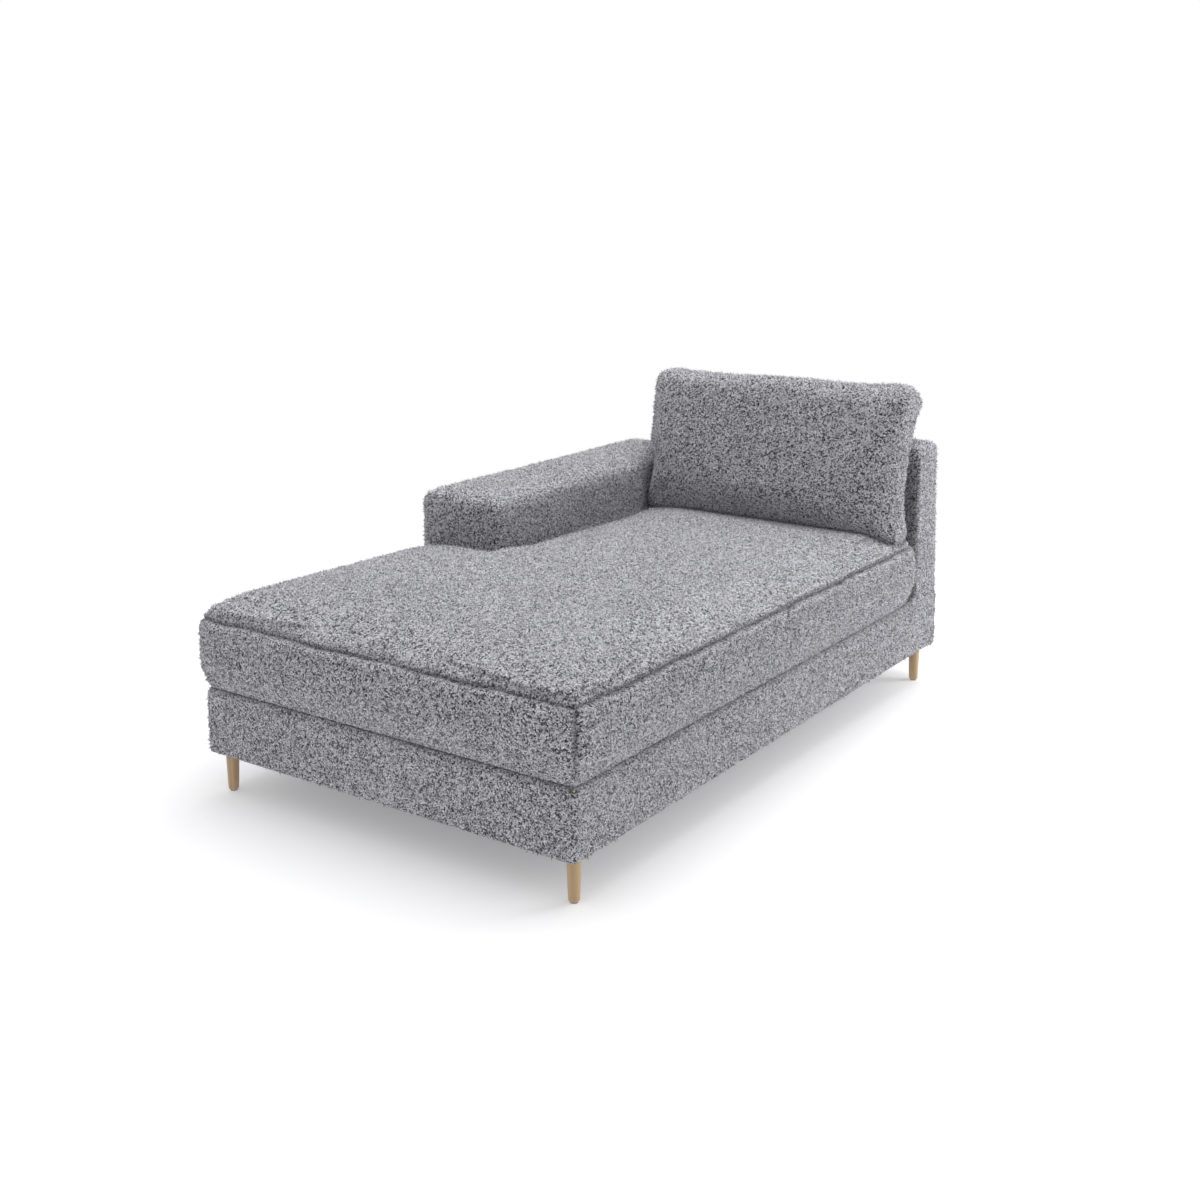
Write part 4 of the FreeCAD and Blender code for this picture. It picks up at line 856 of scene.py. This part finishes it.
pillow = squares(outside("back_cushion_cover", hull=False), 0.0075, ease=22)
points, normals = mesh_points(pillow), mesh_normals(pillow)
held = points[:, 2] < foot_z + 0.005
pillow = with_points(pillow, points - normals * 0.003 * ~held[:, None])
pillow = with_points(pillow, swollen(pillow, held, 4.0, 0.012))
points = mesh_points(pillow)
x, y, z = points.T
near_foot = np.exp(-np.maximum(z - foot_z, 0) / 0.05)
ears = right_ear * near_to(x - 0.467, 0.09) + left_ear * near_to(x + 0.253, 0.06)
middle = middle_rise * near_to(x - 0.14, 0.24)
lifted = share(z - 0.70, 0.10) * (ears + middle)
points[:, 2] = np.maximum(z, foot_z) - near_foot * foot_droop(x, y) + lifted
points[:, 0] += 0.004 * share(-0.2 - x, 0.08)
foot_corner = share(x - 0.40, 0.07) * near_to(np.maximum(z - foot_z, 0), 0.045)
points[:, 0] += corner_out * foot_corner
points[:, 2] -= corner_down * foot_corner
pillow = with_points(pillow, points)
filling("back_cushion_fibre", pillow, fibre, "back_cushion", "fibre", 0.008, "back_cushion_fill")
pillow = with_modifier(pillow, "SUBSURF", levels=1, render_levels=1)
points = mesh_points(pillow)
x, y, z = points.T
on_arm = (x < arm_side + lift_off) & (z < arm_top + lift_off)
by_side = on_arm & (arm_side - x < arm_top - z)
points[:, 0] = np.where(by_side, arm_side + lift_off, points[:, 0])
points[:, 2] = np.where(on_arm & ~by_side, arm_top + lift_off, points[:, 2])
points[:, 1] = np.where(points[:, 2] < 0.66, np.minimum(points[:, 1], slab_y), points[:, 1])
x, y, z = points.T
above_foot = z - foot_z + foot_droop(x, y)
against_arm, against_back = (x < arm_side + 0.004) & (z < arm_top + 0.004), (y > slab_y - 0.004) & (z < 0.67)
flat = (above_foot < 0.004) | against_arm | against_back
# Painted shade along the cushion's foot on the seat and along its side against the arm.
crease_shade = near_to(np.maximum(above_foot, 0), 0.008)
crease_shade = np.maximum(crease_shade, 0.7 * near_to(x - arm_side, 0.014) * (z < arm_top + 0.01))
back_cushion = covered("back_cushion", with_points(pillow, points), np.where(flat, 0.0, 1.0), crease_shade,
                       "back_cushion", "back_cushion_cover", fill=0.7)
yarn_ends("back_cushion_yarn_ends", "back_cushion", back_cushion)


# Zips: a woven tape with a moulded chain and end stops on the rear of each cushion, and a dark
# nickel slider that runs along it.
zip_tape = cloth_finish("zip_tape", (0.24, 0.24, 0.25), (0.12, 0.12, 0.125), 1400)
nickel = metal_finish("dark_nickel", (0.26, 0.26, 0.27), 0.3)
dress(zip_tape, "seat_zip", "back_zip")
dress(nickel, "seat_zip_slider", "back_zip_slider")


# Floor, light and camera: a white studio floor under an even white sky, one large soft lamp
# overhead and a low soft one behind on the right.
ground, t = finish("studio_floor")
seen = t.node("ShaderNodeLightPath")["Is Camera Ray"]
dull = t.node("ShaderNodeBsdfDiffuse", {}, {"Color": (0.9, 0.9, 0.91, 1)})["BSDF"]
glow = t.node("ShaderNodeEmission", {}, {
    "Color": (0.98, 0.98, 1, 1), "Strength": 0.52 - seen * 0.28})["Emission"]
near = t.node("ShaderNodeAddShader", {}, {0: dull, 1: glow})["Shader"]
far = t.node("ShaderNodeVectorMath", {"operation": "LENGTH"}, {0: t.place()})["Value"].between(1.2, 2.4)
plain = t.node("ShaderNodeEmission", {}, {"Color": (1, 1, 1, 1), "Strength": 1.0})["Emission"]
t.node("ShaderNodeOutputMaterial", {}, {"Surface": t.node("ShaderNodeMixShader", {}, {
    0: far * seen, 1: near, 2: plain})["Shader"]})
floor_mesh = bpy.data.meshes.new("floor")
floor_mesh.from_pydata([(-30, -30, 0), (30, -30, 0), (30, 30, 0), (-30, 30, 0)], [], [(0, 1, 2, 3)])
floor_mesh.materials.append(ground)
floor = bpy.data.objects.new("floor", floor_mesh)
bpy.context.scene.collection.objects.link(floor)
floor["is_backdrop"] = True

world = bpy.data.worlds.new("studio")
bpy.context.scene.world = world
world.use_nodes = True
world.node_tree.nodes.clear()
t = Nodes(world.node_tree)
seen = t.node("ShaderNodeLightPath")["Is Camera Ray"]
backdrop = t.node("ShaderNodeBackground", {}, {
    "Color": (1, 1, 1, 1), "Strength": seen * 0.18 + 0.82})["Background"]
t.node("ShaderNodeOutputWorld", {}, {"Surface": backdrop})

for name, where, aim, size, power in (("overhead", (0.1, 0.3, 3.0), (0.1, 0.1, 0.3), 3.0, 34),
                                      ("low_right", (1.9, 1.8, 0.7), (0.45, 0.7, 0.3), 1.2, 24)):
    lamp = bpy.data.lights.new(name, "AREA")
    lamp.shape, lamp.size, lamp.energy = "DISK", size, power
    hung = bpy.data.objects.new(name, lamp)
    hung.location = where
    hung.rotation_euler = (Vector(aim) - Vector(where)).to_track_quat("-Z", "Y").to_euler()
    hung.visible_camera = False
    bpy.context.scene.collection.objects.link(hung)

lens = bpy.data.cameras.new("camera")
lens.lens, lens.sensor_width, lens.shift_y = 46.256, 36, -0.15
camera = bpy.data.objects.new("camera", lens)
camera.location = (2.0647, -2.9726, 1.3628)
camera.rotation_euler = (math.radians(90 - 9.23), 0, math.radians(34.905))
bpy.context.scene.collection.objects.link(camera)
bpy.context.scene.camera = camera
bpy.context.scene.view_settings.view_transform = "Standard"

low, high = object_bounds()
